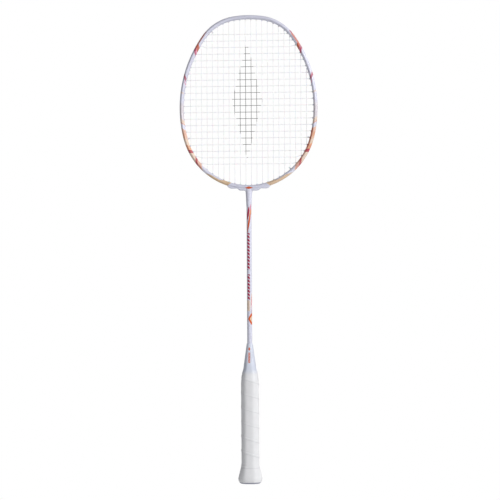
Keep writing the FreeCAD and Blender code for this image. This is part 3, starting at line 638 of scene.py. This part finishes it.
def grommet_material():
    """Translucent white nylon with a faint moulding texture."""
    surface = Surface("grommet_nylon", rgb(220, 221, 230), subsurface_weight=0.2, subsurface_scale=0.5 * MM)
    surface.vary(surface.grain(2), 0.95, 1.02)
    surface.gloss(surface.grain(0.4, detail=3), 0.36, 0.5)
    surface.relief(surface.grain(0.12), 0.01)
    return surface.done()


def grip_material():
    """Soft polyurethane grip: fine leather grain, faint creases, and painted shade that darkens the seams
    and the upper edge of the level first turn.
    """
    surface = Surface("grip_polyurethane", rgb(231, 231, 232), sheen_weight=0.12, sheen_roughness=0.5,
                      specular_ior_level=0.35)
    # Painted shade: a grey laid into the colour along the seams' creases and covered edges, and along the
    # upper edge of the level first turn.
    painted_crease_shade = rgb(196, 196, 200)
    surface.paint(painted_crease_shade, surface.attribute("seam") * 0.55)
    z = surface.axes()[2]
    surface.paint(painted_crease_shade, z.band(FIRST_TURN_TOP - 0.4, FIRST_TURN_TOP + 0.4, 0.6) * 0.45)
    surface.vary(surface.grain(9, detail=3), 0.975, 1.01)
    surface.gloss(surface.grain(3, detail=3), 0.56, 0.68)
    pores = surface.cells(0.55).rise(0.15, 0.75)
    surface.relief(pores.inverse(), 0.022)
    surface.relief(surface.grain(2.6, detail=3, stretch=(1, 1, 0.45)), 0.05)
    return surface.done()


def tape_material():
    """Thin cloudy film with faint creases; the cone's tint shows through its upper half."""
    surface = Surface("finishing_film", rgb(231, 231, 233), coat_weight=0.2, coat_roughness=0.2)
    z = surface.axes()[2]
    surface.paint(CONE_PEARL, (z + surface.grain(2.5) * 1.6).rise(157, 164.5, 0, 0.85))
    surface.vary(surface.grain(6), 0.98, 1.01)
    surface.gloss(surface.grain(2), 0.34, 0.46)
    surface.relief(surface.grain(1.4, detail=3, stretch=(2.5, 2.5, 0.5)), 0.03)
    return surface.done()


def butt_material():
    """Spark-textured moulded plastic."""
    surface = Surface("butt_plastic", rgb(150, 152, 168), specular_ior_level=0.4)
    surface.vary(surface.grain(5), 0.96, 1.02)
    surface.gloss(surface.grain(0.5, detail=3), 0.4, 0.55)
    surface.relief(surface.grain(0.3, detail=3), 0.02)
    return surface.done()


def medallion_material():
    """Satin disc with fine turned rings."""
    surface = Surface("medallion_satin", rgb(206, 208, 220), metallic=0.65, coat_weight=0.3)
    x, y, _ = surface.axes()
    radius = (x * x + y * y).math("SQRT")
    rings = (radius * 14).math("SINE").rise(-1, 1)
    surface.shade(rings * 0.05 + 0.96)
    surface.gloss(surface.grain(0.6, detail=3), 0.26, 0.38)
    surface.relief(rings, 0.008)
    return surface.done()


def wood_material():
    """Light close-grained wood, its grain along the handle."""
    surface = Surface("handle_wood", rgb(206, 172, 124))
    rings = surface.grain(5, stretch=(1, 0.5, 40)) * 30
    surface.paint(rgb(168, 128, 84), rings.math("SINE").rise(0.1, 0.9) * 0.6)
    fibres = surface.grain(0.6, detail=4, stretch=(1, 1, 30))
    return surface.textured(fibres, (0.86, 1.06), (0.55, 0.75), 0.04)


def steel_material():
    """Drawn steel with faint lengthwise scratches."""
    surface = Surface("pin_steel", rgb(188, 190, 194), metallic=1)
    scratches = surface.grain(0.3, detail=3, stretch=(1, 12, 1))
    return surface.textured(scratches, (0.94, 1.03), (0.2, 0.4), 0.006)


def core_material():
    """Dark glass-filled nylon."""
    surface = Surface("core_nylon", rgb(58, 60, 66))
    return surface.textured(surface.grain(0.35, detail=4), (0.8, 1.2), (0.42, 0.6), 0.02)


def underlay_material():
    """Adhesive film, faintly yellow and rippled."""
    surface = Surface("underlay_film", rgb(222, 214, 190))
    return surface.textured(surface.grain(1.2, stretch=(1, 1, 4)), (0.95, 1.03), (0.45, 0.6), 0.03)


# ---- Head

TUBE_HALF_DEPTH = 5
GROOVE_HALF_WIDTH, GROOVE_DEPTH = 1.6, 1.4
YOKE_HALF_TURN = asin(YOKE_REACH / CHIN.radius)
YOKE_START = CHIN.run + CHIN.radius * (CHIN_TURN - YOKE_HALF_TURN)
HOOP_STEP = 1.25


def mirrored(corners):
    """A section's front corners, followed by the same corners at the back."""
    return corners + [(-across, depth, reach) for across, depth, reach in reversed(corners)]


# The tube's rounded section as (y, inset) points, with the string groove on its outside
TUBE_SECTION = rounded(mirrored([
    (GROOVE_HALF_WIDTH, GROOVE_DEPTH, 0.35), (GROOVE_HALF_WIDTH, 0, 0.3), (2.6, 0, 1), (4.3, 1.2, 1.5),
    (TUBE_HALF_DEPTH, 2.7, 1.5), (4.5, 3.9, 1.5), (3.3, 5.1, 1.5), (1.5, TUBE_WIDTH, 1.5)]))


def hoop_rings(section, headings):
    """Rings of a (y, inset) section at headings along the outline."""
    return [[hoop_point(heading, inset, y) for y, inset in section] for heading in headings]


def mark_hoop_place(piece):
    """Store each point's run and inset, which the paint follows."""
    places = [place_on_hoop(vertex.co.x / MM, vertex.co.z / MM) for vertex in piece.data.vertices]
    store(piece, "run", [run for run, inset in places])
    store(piece, "inset", [inset for run, inset in places])


def make_hoop():
    count = round(2 * YOKE_START / HOOP_STEP)
    headings = [heading_at_run(2 * YOKE_START * i / count - YOKE_START) for i in range(count + 1)]
    hoop = make_skin("hoop", hoop_rings(TUBE_SECTION, headings))
    mark_hoop_place(hoop)
    finish_piece(hoop, frame_material(), "head_frame", sharp=50)


# The yoke's raised lips as (x, z, ease) corners of their right-hand outlines
INNER_LIP = [(4.2, 425, 0.1), (4.4, 421.4, 1), (6.6, 422.2, 0.9), (13.3, 422.2, 1.5),
             (17.2, 425.7, 1.5), (17, 428, 0.1)]
OUTER_LIP = [(14, 428.5, 0.1), (14.6, 425.4, 0.4), (19, 425.3, 2), (27.2, 425.1, 2.4),
             (31.6, 429, 1.6), (30.4, 432, 0.1)]
# How far a lip's outline shrinks at each depth, which rounds its edges
LIP_LAYERS = [(0, 2.7), (0.4, 3.3), (0.9, 3.7)]
# The stem's (half width, z) levels
STEM = [(3.6, 399), (3.75, 399.2), (3.95, 405), (4.2, 411), (4.45, 417), (4.9, 420.6), (5.6, 422.6),
        (6.2, 424.4), (6.2, 426.6)]
STEM_HALF_DEPTH = 4.6
YOKE_STEPS = 30
YOKE_VOXEL = 0.32
# The filling of the groove between the two lips of a side: its ends in x, and its (y, inset) corners
BRIDGE_ENDS = (14.6, 19.6)
BRIDGE = [(-1.8, 0), (-1.8, 2.2), (1.8, 2.2), (1.8, 0)]


def plate(outline, low, high):
    """Two rings of an (x, z) outline at two depths."""
    return [[Vector((x, y, z)) for x, z in outline] for y in (low, high)]


def stem_rings():
    """Round below, and no deeper than the tube where the stem widens into it."""
    return [[Vector((cos(a) * half, sin(a) * min(half, STEM_HALF_DEPTH), z)) for a in turns_of(48)]
            for half, z in STEM]


def make_yoke():
    """Tube, lips and stem melted into one moulding and smoothed."""
    shape = Shape()
    half_turn = degrees(YOKE_HALF_TURN)
    angles = [180 - half_turn * (1 - i / YOKE_STEPS) for i in range(2 * YOKE_STEPS + 1)]
    shape.skin(hoop_rings(TUBE_SECTION, angles))
    near, far = BRIDGE_ENDS
    bridge_turns = [degrees(asin((near + (far - near) * i / 6) / CHIN.radius)) for i in range(7)]
    for sign in (-1, 1):
        for lip in (INNER_LIP, OUTER_LIP):
            for shrink, depth in LIP_LAYERS:
                outline = [(point.x * sign, point.y + shrink) for point in rounded(lip)]
                shape.skin(plate(outline, -depth, -GROOVE_HALF_WIDTH))
                shape.skin(plate(outline, GROOVE_HALF_WIDTH, depth))
        shape.skin(hoop_rings(BRIDGE, [180 - sign * turn for turn in bridge_turns]))
    shape.skin(stem_rings())
    yoke = make_mesh("yoke", shape)
    remesh = yoke.modifiers.new("melt", "REMESH")
    remesh.mode = "VOXEL"
    remesh.voxel_size = YOKE_VOXEL * MM
    smooth = yoke.modifiers.new("soften", "SMOOTH")
    smooth.factor = 0.5
    smooth.iterations = 6
    apply_modifiers(yoke)
    mark_hoop_place(yoke)
    finish_piece(yoke, yoke_material(), "throat_yoke", sharp=180)


# ---- Strings and grommets. Mains are counted in columns from the left, crosses in rows from the top.

COLUMNS, MAIN_PITCH = 22, 8
ROWS, CROSS_PITCH, TOP_CROSS = 21, 9.35, 647.6
STRING_RADIUS, STRING_BEND = 0.34, 0.5
WEAVE = 0.4
MAIN_LANE, CROSS_LANE = -0.45, 0.45
LIP_INSET = TUBE_WIDTH + 1
STRING_INSET = 0.42
CROSSING_MARGIN = 1.2
SHARE_REACH = 3.3
SPAN_STEPS = 4


def column_x(column):
    return (column - (COLUMNS + 1) / 2) * MAIN_PITCH


def row_z(row):
    return TOP_CROSS - (row - 1) * CROSS_PITCH


def main_heading(column, lower):
    """Signed heading of a main string's upper or lower hole."""
    x = column_x(column)
    return copysign(heading_at_x(abs(x), LIP_INSET, lower), x)


def cross_heading(row, side):
    """Signed heading of a cross's hole, shared with a main's where they nearly meet."""
    own = heading_at_z(row_z(row), LIP_INSET)
    right_columns = range(COLUMNS // 2 + 1, COLUMNS + 1)
    mains = [main_heading(column, lower) for column in right_columns for lower in (False, True)]
    nearest = min(mains, key=lambda heading: run_between(heading, own))
    return side * (nearest if run_between(nearest, own) < SHARE_REACH else own)


MAIN_HOLES = {(column, lower): main_heading(column, lower)
              for column in range(1, COLUMNS + 1) for lower in (False, True)}
CROSS_HOLES = {(row, side): cross_heading(row, side)
               for row in range(1, ROWS + 1) for side in (-1, 1)}
HOLES = sorted(set(MAIN_HOLES.values()) | set(CROSS_HOLES.values()))


def crosses_inside(column, row):
    """True where a main and a cross meet well inside both of their runs."""
    x, z = column_x(column), row_z(row)
    top = hoop_point(MAIN_HOLES[column, False], LIP_INSET).z
    bottom = hoop_point(MAIN_HOLES[column, True], LIP_INSET).z
    left = hoop_point(CROSS_HOLES[row, -1], LIP_INSET).x
    right = hoop_point(CROSS_HOLES[row, 1], LIP_INSET).x
    return (bottom + CROSSING_MARGIN < z < top - CROSSING_MARGIN
            and left + CROSSING_MARGIN < x < right - CROSSING_MARGIN)


def weave_level(column, row):
    """Height of the main above or below the bed where it meets a cross."""
    return WEAVE * (-1 if (column + row) % 2 == 0 else 1)


def woven(points):
    """A run that waves smoothly between its crossings."""
    path = []
    for here, there in zip(points, points[1:]):
        for step in range(SPAN_STEPS):
            t = step / SPAN_STEPS
            point = here.lerp(there, t)
            point.y = here.y + (there.y - here.y) * eased(t)
            path.append(point)
    return path + [points[-1]]


def bed_run(first, last, lane, meeting):
    """A string from hole to hole through the points where it meets others."""
    inside = [hoop_point(first, LIP_INSET, lane)] + meeting + [hoop_point(last, LIP_INSET, lane)]
    return [hoop_point(first, STRING_INSET, lane)] + woven(inside) + [hoop_point(last, STRING_INSET, lane)]


def main_run(column):
    """A main string from its upper hole down to its lower hole."""
    rows = [row for row in range(1, ROWS + 1) if crosses_inside(column, row)]
    meeting = [Vector((column_x(column), weave_level(column, row), row_z(row))) for row in rows]
    return bed_run(MAIN_HOLES[column, False], MAIN_HOLES[column, True], MAIN_LANE, meeting)


def cross_run(row):
    """A cross string from its left hole to its right hole."""
    columns = [column for column in range(1, COLUMNS + 1) if crosses_inside(column, row)]
    meeting = [Vector((column_x(column), -weave_level(column, row), row_z(row))) for column in columns]
    return bed_run(CROSS_HOLES[row, -1], CROSS_HOLES[row, 1], CROSS_LANE, meeting)


def groove_run(first, last, lane):
    """Points over the holes that a loop passes in the groove between two holes."""
    low, high = sorted((first, last))
    passed = [heading for heading in HOLES if low < heading < high]
    if first > last:
        passed.reverse()
    return [hoop_point(heading, STRING_INSET, lane) for heading in passed]


def neighbour(heading, towards):
    """The next hole along the hoop, on the side of another heading."""
    passed = [other for other in HOLES if min(heading, towards) < other < max(heading, towards)]
    return min(passed, key=lambda other: abs(other - heading))


KNOT_RADIUS, KNOT_TURNS, KNOT_PITCH, KNOT_TAIL = 0.78, 2.4, 0.72, 1.6
KNOT_GAP = 0.45
KNOT_STEPS = 12


def knot_run(heading, lane):
    """From the groove through a hole and round the string that leaves it, with a cut tail."""
    axis = -normal(heading)
    side = Vector((0, copysign(1, lane), 0))
    other = axis.cross(side)
    start = hoop_point(heading, LIP_INSET + KNOT_GAP, 0)
    coil = []
    for step in range(int(KNOT_TURNS * KNOT_STEPS) + 1):
        angle = 2 * pi * step / KNOT_STEPS
        coil.append(start + axis * (KNOT_PITCH * step / KNOT_STEPS)
                    + (side * cos(angle) + other * sin(angle)) * KNOT_RADIUS)
    tail = coil[-1] + (coil[-1] - coil[-2]).normalized() * KNOT_TAIL
    through = [hoop_point(heading, inset, lane) for inset in (STRING_INSET, LIP_INSET - 0.2)]
    return through + coil + [tail]


def laced(passes, lane, before, after):
    """Passes (first hole, last hole, points) joined in the groove, with a knot near both ends."""
    start, end = passes[0][0], passes[-1][1]
    first_knot, last_knot = neighbour(start, before), neighbour(end, after)
    points = knot_run(first_knot, lane)[::-1]
    here = first_knot
    for first, last, run in passes:
        points += groove_run(here, first, lane) + run
        here = last
    return points + groove_run(end, last_knot, lane) + knot_run(last_knot, lane)


def main_route():
    """The whole main string: up the odd columns and down the even ones, from left to right."""
    passes = []
    for column in range(1, COLUMNS + 1):
        down = column % 2 == 0
        holes = MAIN_HOLES[column, not down], MAIN_HOLES[column, down]
        passes.append((*holes, main_run(column) if down else main_run(column)[::-1]))
    return laced(passes, MAIN_LANE, -90, 90)


def cross_route():
    """The whole cross string: from left to right on the odd rows, and back on the even ones."""
    passes = []
    for row in range(1, ROWS + 1):
        side = 1 if row % 2 else -1
        holes = CROSS_HOLES[row, -side], CROSS_HOLES[row, side]
        passes.append((*holes, cross_run(row) if side > 0 else cross_run(row)[::-1]))
    return laced(passes, CROSS_LANE, 0, 180)


def make_strings():
    material = string_material()
    for node, route in (("main_string", main_route()), ("cross_string", cross_route())):
        string = make_skin(node + "_woven", tube_rings(soft_corners(route, STRING_BEND), STRING_RADIUS, 10))
        finish_piece(string, material, node, sharp=60)


# Half section of a grommet as (radius, height) from the groove inwards, round edges included.
GROMMET_HEAD = 0.5
GROMMET = [(0.85, 0.08), (0.93, 0), (1.38, 0), (1.47, 0.06), (1.5, 0.15), (1.5, 0.38), (1.44, 0.5),
           (1.2, 0.5), (1.15, 0.56), (1.15, 5.6), (1.1, 5.82), (1, 5.9), (0.92, 5.88), (0.85, 5.75)]
STRETCHES = [("crown", 0, 30), ("shoulder", 30, 62), ("upper_side", 62, 90),
             ("lower_side", 90, 115), ("chin", 115, 155), ("throat", 155, 180)]


def make_grommet_group(node, headings, material):
    shape = Shape()
    for heading in headings:
        base = hoop_point(heading, GROOVE_DEPTH - GROMMET_HEAD)
        shape.skin(lathe_rings(GROMMET, base, -normal(heading), 20), closed=True)
    finish_piece(make_mesh(node + "_moulded", shape), material, node)


def make_grommets():
    material = grommet_material()
    for name, start, end in STRETCHES:
        inside = [heading for heading in HOLES if start <= abs(heading) < end]
        if name in ("crown", "throat"):
            make_grommet_group(f"grommets_{name}", inside, material)
            continue
        for side, sign in (("left", -1), ("right", 1)):
            headings = [heading for heading in inside if heading * sign > 0]
            make_grommet_group(f"grommets_{name}_{side}", headings, material)


# ---- Shaft, cone and handle

COLUMNS_ROUND = 192
ANGLES = turns_of(COLUMNS_ROUND)
# The handle has eight sides. Its half depth is its half width less FLATNESS.
FLATNESS = 1.25
CORNER_RATIO = 0.51
SOCKET_CRISPNESS = 60
FIT_GAP = 0.05


def facet_reach(angle, half_x, half_y, crispness):
    """Distance from the axis to an eight-sided outline; less crispness makes it rounder."""
    corner = (half_x + half_y - CORNER_RATIO * half_x) / sqrt(2)
    x, y = abs(cos(angle)), abs(sin(angle))
    facets = [x / half_x, y / half_y, (x + y) / sqrt(2) / corner, abs(x - y) / sqrt(2) / corner]
    return sum(facet ** crispness for facet in facets) ** (-1 / crispness)


def level(levels, z, blur):
    """The size at a height, from (z, size) levels whose kinks are blurred."""
    def straight(height):
        if height <= levels[0][0]:
            return levels[0][1]
        for (low, first), (high, second) in zip(levels, levels[1:]):
            if height <= high:
                return first + (second - first) * (height - low) / (high - low)
        return levels[-1][1]
    samples = [straight(z + blur * k / 4) for k in range(-4, 5)]
    return sum(samples) / len(samples)


def ring(z, reach):
    """A level ring; its distance from the axis is a function of the angle."""
    return [Vector((cos(angle) * reach(angle), sin(angle) * reach(angle), z)) for angle in ANGLES]


def facet_ring(z, half, crispness=SOCKET_CRISPNESS):
    return ring(z, lambda angle: facet_reach(angle, half, half - FLATNESS, crispness))


SHAFT_BORE, SHAFT_EASE, SHAFT_STEPS, SHAFT_SIDES = 2.25, 0.15, 60, 72


def make_shaft():
    """Thin-walled tube with eased ends."""
    low, high = extent("shaft")
    radius = high.x
    steps = [low.z + (high.z - low.z) * i / SHAFT_STEPS for i in range(1, SHAFT_STEPS)]
    outside = [(radius - SHAFT_EASE, low.z), (radius, low.z + SHAFT_EASE)]
    outside += [(radius, z) for z in steps]
    outside += [(radius, high.z - SHAFT_EASE), (radius - SHAFT_EASE, high.z)]
    profile = outside + [(SHAFT_BORE, high.z), (SHAFT_BORE, low.z)]
    tube = make_skin("shaft_tube", lathe_rings(profile, ORIGIN, UP, SHAFT_SIDES), closed=True)
    finish_piece(tube, shaft_material(), "shaft")


# The cone by height: half width, how much flatter it is, and how round
CONE_HALF = [(151, 10.35), (163.5, 9.55), (190, 5.85), (201.5, 4.35)]
CONE_FLAT = [(151, FLATNESS), (163.5, FLATNESS), (190, FLATNESS / 4), (201.5, 0)]
CONE_ROUND = [(163.5, 0), (190, 0.1), (197, 0.6), (201.5, 1)]
CONE_CRISPNESS = 20
CONE_SOCKET_HALF = 7.65
CONE_HEEL, CONE_RIM, CONE_STEPS, CONE_RIM_STEPS = 0.2, 0.5, 90, 6


def cone_reach(z, shrink):
    """The cone's distance from its axis at a height, as a function of the angle."""
    half = level(CONE_HALF, z, 3) - shrink
    flat, share = level(CONE_FLAT, z, 3), level(CONE_ROUND, z, 2)
    return lambda angle: facet_reach(angle, half, half - flat, CONE_CRISPNESS) * (1 - share) + half * share


def make_cone():
    """Eight-sided, turning round towards the shaft, with a socket for the handle's neck."""
    low, high = [corner.z for corner in extent("cone_cap")]
    bore = extent("shaft")[1].x + FIT_GAP
    socket_top = extent("handle_core")[1].z + FIT_GAP
    rings = [ring(low, cone_reach(low, CONE_HEEL))]
    for i in range(1, CONE_STEPS + 1):
        z = low + CONE_HEEL + (high - CONE_RIM - low - CONE_HEEL) * i / CONE_STEPS
        rings.append(ring(z, cone_reach(z, 0)))
    for i in range(1, CONE_RIM_STEPS + 1):
        turn = pi / 2 * i / CONE_RIM_STEPS
        z = high - CONE_RIM + CONE_RIM * sin(turn)
        rings.append(ring(z, cone_reach(high - CONE_RIM, CONE_RIM * (1 - cos(turn)))))
    rings += [ring(z, lambda angle: bore) for z in (high, socket_top)]
    rings += [facet_ring(z, CONE_SOCKET_HALF) for z in (socket_top, low)]
    cone = make_skin("cone", rings, closed=True)
    finish_piece(cone, cone_material(), "cone_cap")


# The grip is one strip wound upwards from the butt. Each turn laps over the top edge of the turn
# below it: its own edge is a sharp step, and the edge that it covers shows as a softer one.
# The half widths by height are those outside and inside, without the turns.
GRIP_HALF = [(2.2, 15.65), (2.7, 16.2), (4.5, 16.9), (7.5, 17.35), (13, 16.05), (26.5, 12.7),
             (146, 12.7), (158.5, 10.9)]
GRIP_INSIDE = [(2.2, 15.6), (7.5, 15.65), (13, 14.4), (26.5, 11.05), (150, 11.05), (152, 10.4),
               (158.5, 10.05)]
GRIP_CRISPNESS = 13
WRAP_PITCH = 21.2
WRAP_START = 153.2
# Shares of the strip's width: the lap, the edge's step and the crease below it
LAP, EDGE_STEP, CREASE_WIDTH = 3.3 / WRAP_PITCH, 0.01, 0.03
LAP_HEIGHT, CREASE_DEPTH = 0.34, 0.1
RIPPLE_HEIGHT, RIPPLE_LENGTH = 0.07, 9
# The first turn lies level on the butt: the seams fade out towards its upper edge
FIRST_TURN_TOP = 22.6
# How strongly the covered edge shows on each turn, from the cone downwards
COVERED_EDGE = [1, 0.35, 0.3, 0.35, 0.9, 1, 1, 0.8, 0.8]


def wrap_place(angle, z):
    """The strip's turn at a place, from the cone down, and the share of its width above it."""
    around = (angle / (2 * pi) + 0.5) % 1
    phase = (WRAP_START - z) / WRAP_PITCH - around
    return floor(phase), phase - floor(phase)


def covered_edge(turn):
    return COVERED_EDGE[min(max(turn + 1, 0), len(COVERED_EDGE) - 1)]


def seam_strength(z):
    """1 on the wound turns, 0 on the level turn round the butt."""
    return eased((z - FIRST_TURN_TOP + 1) / 4)


def wrap_lift(angle, z):
    """Height of the wound strip above its plain surface."""
    turn, share = wrap_place(angle, z)
    covered = covered_edge(turn)
    soft = eased((share - (1 - LAP)) / 0.05) * covered
    firm = eased((share - 0.93) / 0.06) * (1 - covered)
    past_edge = eased(share / EDGE_STEP)
    step = LAP_HEIGHT * (soft + firm) + LAP_HEIGHT * (1 - past_edge)
    crease = CREASE_DEPTH * past_edge * (1 - eased((share - EDGE_STEP) / CREASE_WIDTH))
    place = Vector((cos(angle) * 1.3, sin(angle) * 1.3, z / RIPPLE_LENGTH))
    return (step - crease) * seam_strength(z) + RIPPLE_HEIGHT * noise.noise(place)


def wrap_surface(angle, z):
    """Distance from the axis to the outside of the wound grip."""
    half = level(GRIP_HALF, z, 0.9)
    return facet_reach(angle, half, half - FLATNESS, GRIP_CRISPNESS) + wrap_lift(angle, z)


ROW_SHARES = ([0, EDGE_STEP / 2, EDGE_STEP, 0.02, 0.032, 0.045, 0.07]
              + [0.11 + 0.06 * i for i in range(12)]
              + [0.82, 0.844, 0.857, 0.87, 0.883, 0.9, 0.92, 0.94, 0.96, 0.975, 0.99])


def add_wound_surface(shape, low, high):
    """The strip's outside in rows along the helix, cut off level at both ends."""
    depths = [turn + share for turn in range(-2, 9) for share in ROW_SHARES]
    points = []
    for depth in depths:
        for column in range(COLUMNS_ROUND):
            z = WRAP_START - WRAP_PITCH * (depth + column / COLUMNS_ROUND)
            z = min(max(z, low), high)
            angle = pi + 2 * pi * column / COLUMNS_ROUND
            reach = wrap_surface(angle, z)
            points.append(Vector((cos(angle) * reach, sin(angle) * reach, z)))

    def index(row, column):
        """A row's last column meets the first column of the same row one turn on."""
        if column == COLUMNS_ROUND:
            row, column = row + len(ROW_SHARES), 0
        return row * COLUMNS_ROUND + column
    faces = []
    for row in range(len(depths) - 1):
        for column in range(COLUMNS_ROUND):
            corners = (index(row, column), index(row, column + 1),
                       index(row + 1, column + 1), index(row + 1, column))
            if max(corners) < len(points) and len({points[i].z for i in corners}) > 1:
                faces.append(corners)
    shape.add(points, faces)


def seam_nearness(angle, z):
    """How near a place is to a seam's crease or to a covered edge; the grip's colour takes painted shade
    there.
    """
    turn, share = wrap_place(angle, z)
    off = (share - EDGE_STEP) / (0.008 if share < EDGE_STEP else 0.02)
    covered = (share - (1 - LAP)) / 0.014
    nearness = exp(-off * off) + 0.75 * covered_edge(turn) * exp(-covered * covered)
    return nearness * seam_strength(z)


def make_grip():
    low, high = [corner.z for corner in extent("grip_wrap")]
    shape = Shape()
    add_wound_surface(shape, low, high)
    top, bottom = [ring(z, lambda angle: wrap_surface(angle, z)) for z in (high, low)]
    lining = [facet_ring(z, half) for z, half in reversed(GRIP_INSIDE)]
    shape.skin([top] + lining + [bottom], caps=False)
    grip = make_mesh("grip_wound", shape)
    places = [vertex.co / MM for vertex in grip.data.vertices]
    store(grip, "seam", [seam_nearness(atan2(place.y, place.x), place.z) for place in places])
    finish_piece(grip, grip_material(), "grip_wrap", sharp=60)


TAPE_THICK = 0.2
TAPE_SLOPE_START, TAPE_SLOPE_LENGTH = 0.2, 5.2
TAPE_STEPS = 44


def tape_inside(angle, z):
    """The tape's inner surface: over the grip's end, then down on to the cone."""
    grip_end = extent("grip_wrap")[1].z
    share = eased((z - grip_end - TAPE_SLOPE_START) / TAPE_SLOPE_LENGTH)
    over_grip, over_cone = wrap_surface(angle, min(z, grip_end)), cone_reach(z, 0)(angle)
    return max(over_grip * (1 - share) + over_cone * share, over_cone) + FIT_GAP


def make_tape():
    low, high = [corner.z for corner in extent("finishing_tape")]
    heights = [low + (high - low) * i / TAPE_STEPS for i in range(TAPE_STEPS + 1)]
    outside = [ring(z, lambda angle: tape_inside(angle, z) + TAPE_THICK) for z in heights]
    inside = [ring(z, lambda angle: tape_inside(angle, z)) for z in reversed(heights)]
    film = make_skin("finishing_film", outside + inside, closed=True)
    finish_piece(film, tape_material(), "finishing_tape", sharp=60)


BUTT_HALF = [(0, 13), (0.25, 13.75), (0.7, 14.45), (1.3, 15), (2, 15.4), (4, 15.58), (7.5, 15.6),
             (12.6, 14.4), (13, 14)]
BUTT_CRISPNESS = 16
BUTT_SOCKET_HALF, BUTT_SOCKET_LOW = 13.15, 2.95
RECESS_DEPTH, RECESS_EASE = 0.8, 0.12


def make_butt():
    """Cap with a rounded edge, a recess for the medallion and a socket for the handle."""
    recess = extent("butt_medallion")[1].x + FIT_GAP
    rings = [ring(z, lambda angle: recess) for z in (RECESS_DEPTH, RECESS_EASE)]
    rings.append(ring(0, lambda angle: recess + RECESS_EASE))
    rings += [facet_ring(z, half, BUTT_CRISPNESS) for z, half in BUTT_HALF]
    rings += [facet_ring(z, BUTT_SOCKET_HALF) for z in (BUTT_HALF[-1][0], BUTT_SOCKET_LOW)]
    finish_piece(make_skin("butt", rings), butt_material(), "butt_cap", sharp=50)


# The medallion's half section as (radius, height): a dished face inside a raised rim.
MEDALLION = [(6.2, 0.24), (6.5, 0.22), (6.75, 0.12), (6.95, 0.1), (8.6, 0.1), (8.85, 0.16), (9, 0.34),
             (9, 0.74), (8.94, 0.8)]


def make_medallion():
    medallion = make_skin("medallion", lathe_rings(MEDALLION, ORIGIN, UP, 96))
    finish_piece(medallion, medallion_material(), "butt_medallion", sharp=50)


def finish_inner_nodes():
    """The pieces inside keep their CAD shape and get their own materials."""
    steel = steel_material()
    materials = {"t_joint_core": core_material(), "handle_core": wood_material(), "handle_pin": steel,
                 "grip_tack": steel, "grip_underlay": underlay_material()}
    for node, material in materials.items():
        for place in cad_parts[node].material_slots:
            place.material = material


# ---- Stage, light and camera

scene = bpy.context.scene
FLOOR_DROP, FLOOR_RADIUS = 300, 2200
CAMERA_DISTANCE = 3.2
CAMERA_TURN = 6
CAMERA_ROLL = -0.31
VIEW_HEIGHT = 0.721
VIEW_MIDDLE = Vector((0.0011, 0, 0.3365))


def make_floor():
    """A plain pale disc some way below the racket."""
    shape = Shape()
    rim = circle(Vector((0, 0, -FLOOR_DROP)), Vector((1, 0, 0)), Vector((0, 1, 0)), FLOOR_RADIUS, 128)
    shape.add(rim, [range(len(rim))])
    disc = make_mesh("floor", shape)
    surface = Surface("floor_pale", rgb(244, 244, 245), roughness=0.9)
    surface.vary(surface.grain(400), 0.99, 1)
    disc.data.materials.append(surface.done())


def make_backdrop():
    """White to the eye, and a weaker soft grey as light."""
    world = bpy.data.worlds.new("studio")
    world.use_nodes = True
    scene.world = world
    tree = world.node_tree
    seen = tree.nodes["Background"]
    seen.inputs["Color"].default_value = (1, 1, 1, 1)
    lighting = add_node(tree, "Background", {"Color": (0.93, 0.95, 1, 1), "Strength": 0.19})
    seen_directly = add_node(tree, "LightPath", {}).outputs["Is Camera Ray"]
    sources = {0: seen_directly, 1: lighting.outputs[0], 2: seen.outputs[0]}
    mix = add_node(tree, "MixShader", sources)
    tree.links.new(mix.outputs[0], tree.nodes["World Output"].inputs["Surface"])


def direction(turn, rise):
    """Unit vector at a turn right of the front and a rise, in degrees."""
    a, e = radians(turn), radians(rise)
    return Vector((sin(a) * cos(e), -cos(a) * cos(e), sin(e)))


# Each light's name, turn, rise and distance from the racket, width, height and power
LIGHTS = [
    ("key", 60, 25, 2.6, 1.4, 1.8, 47.5),
    ("front_fill", 8, 12, 3, 1.4, 1.4, 20.5),
    ("back_fill", 150, 25, 2.8, 1.6, 1.6, 30),
]


def make_light(name, turn, rise, distance, width, height, power):
    light = bpy.data.lights.new(name, "AREA")
    light.shape = "RECTANGLE"
    light.size, light.size_y = width, height
    light.energy = power
    lamp = bpy.data.objects.new(name, light)
    lamp.location = VIEW_MIDDLE + direction(turn, rise) * distance
    lamp.rotation_euler = (-direction(turn, rise)).to_track_quat("-Z", "Y").to_euler()
    scene.collection.objects.link(lamp)


def make_camera():
    """A long lens, level with the racket's middle and a little to its right."""
    camera = bpy.data.cameras.new("camera")
    camera.lens = camera.sensor_width * CAMERA_DISTANCE / VIEW_HEIGHT
    eye = bpy.data.objects.new("camera", camera)
    eye.location = VIEW_MIDDLE + direction(CAMERA_TURN, 0) * CAMERA_DISTANCE
    facing = (-direction(CAMERA_TURN, 0)).to_track_quat("-Z", "Y")
    eye.rotation_euler = (facing.to_matrix().to_4x4()
                          @ Matrix.Rotation(radians(CAMERA_ROLL), 4, "Z")).to_euler()
    scene.collection.objects.link(eye)
    scene.camera = eye


make_hoop()
make_yoke()
make_strings()
make_grommets()
make_shaft()
make_cone()
make_grip()
make_tape()
make_butt()
make_medallion()
finish_inner_nodes()
make_floor()
make_backdrop()
for lamp in LIGHTS:
    make_light(*lamp)
make_camera()
scene.view_settings.view_transform = "Standard"
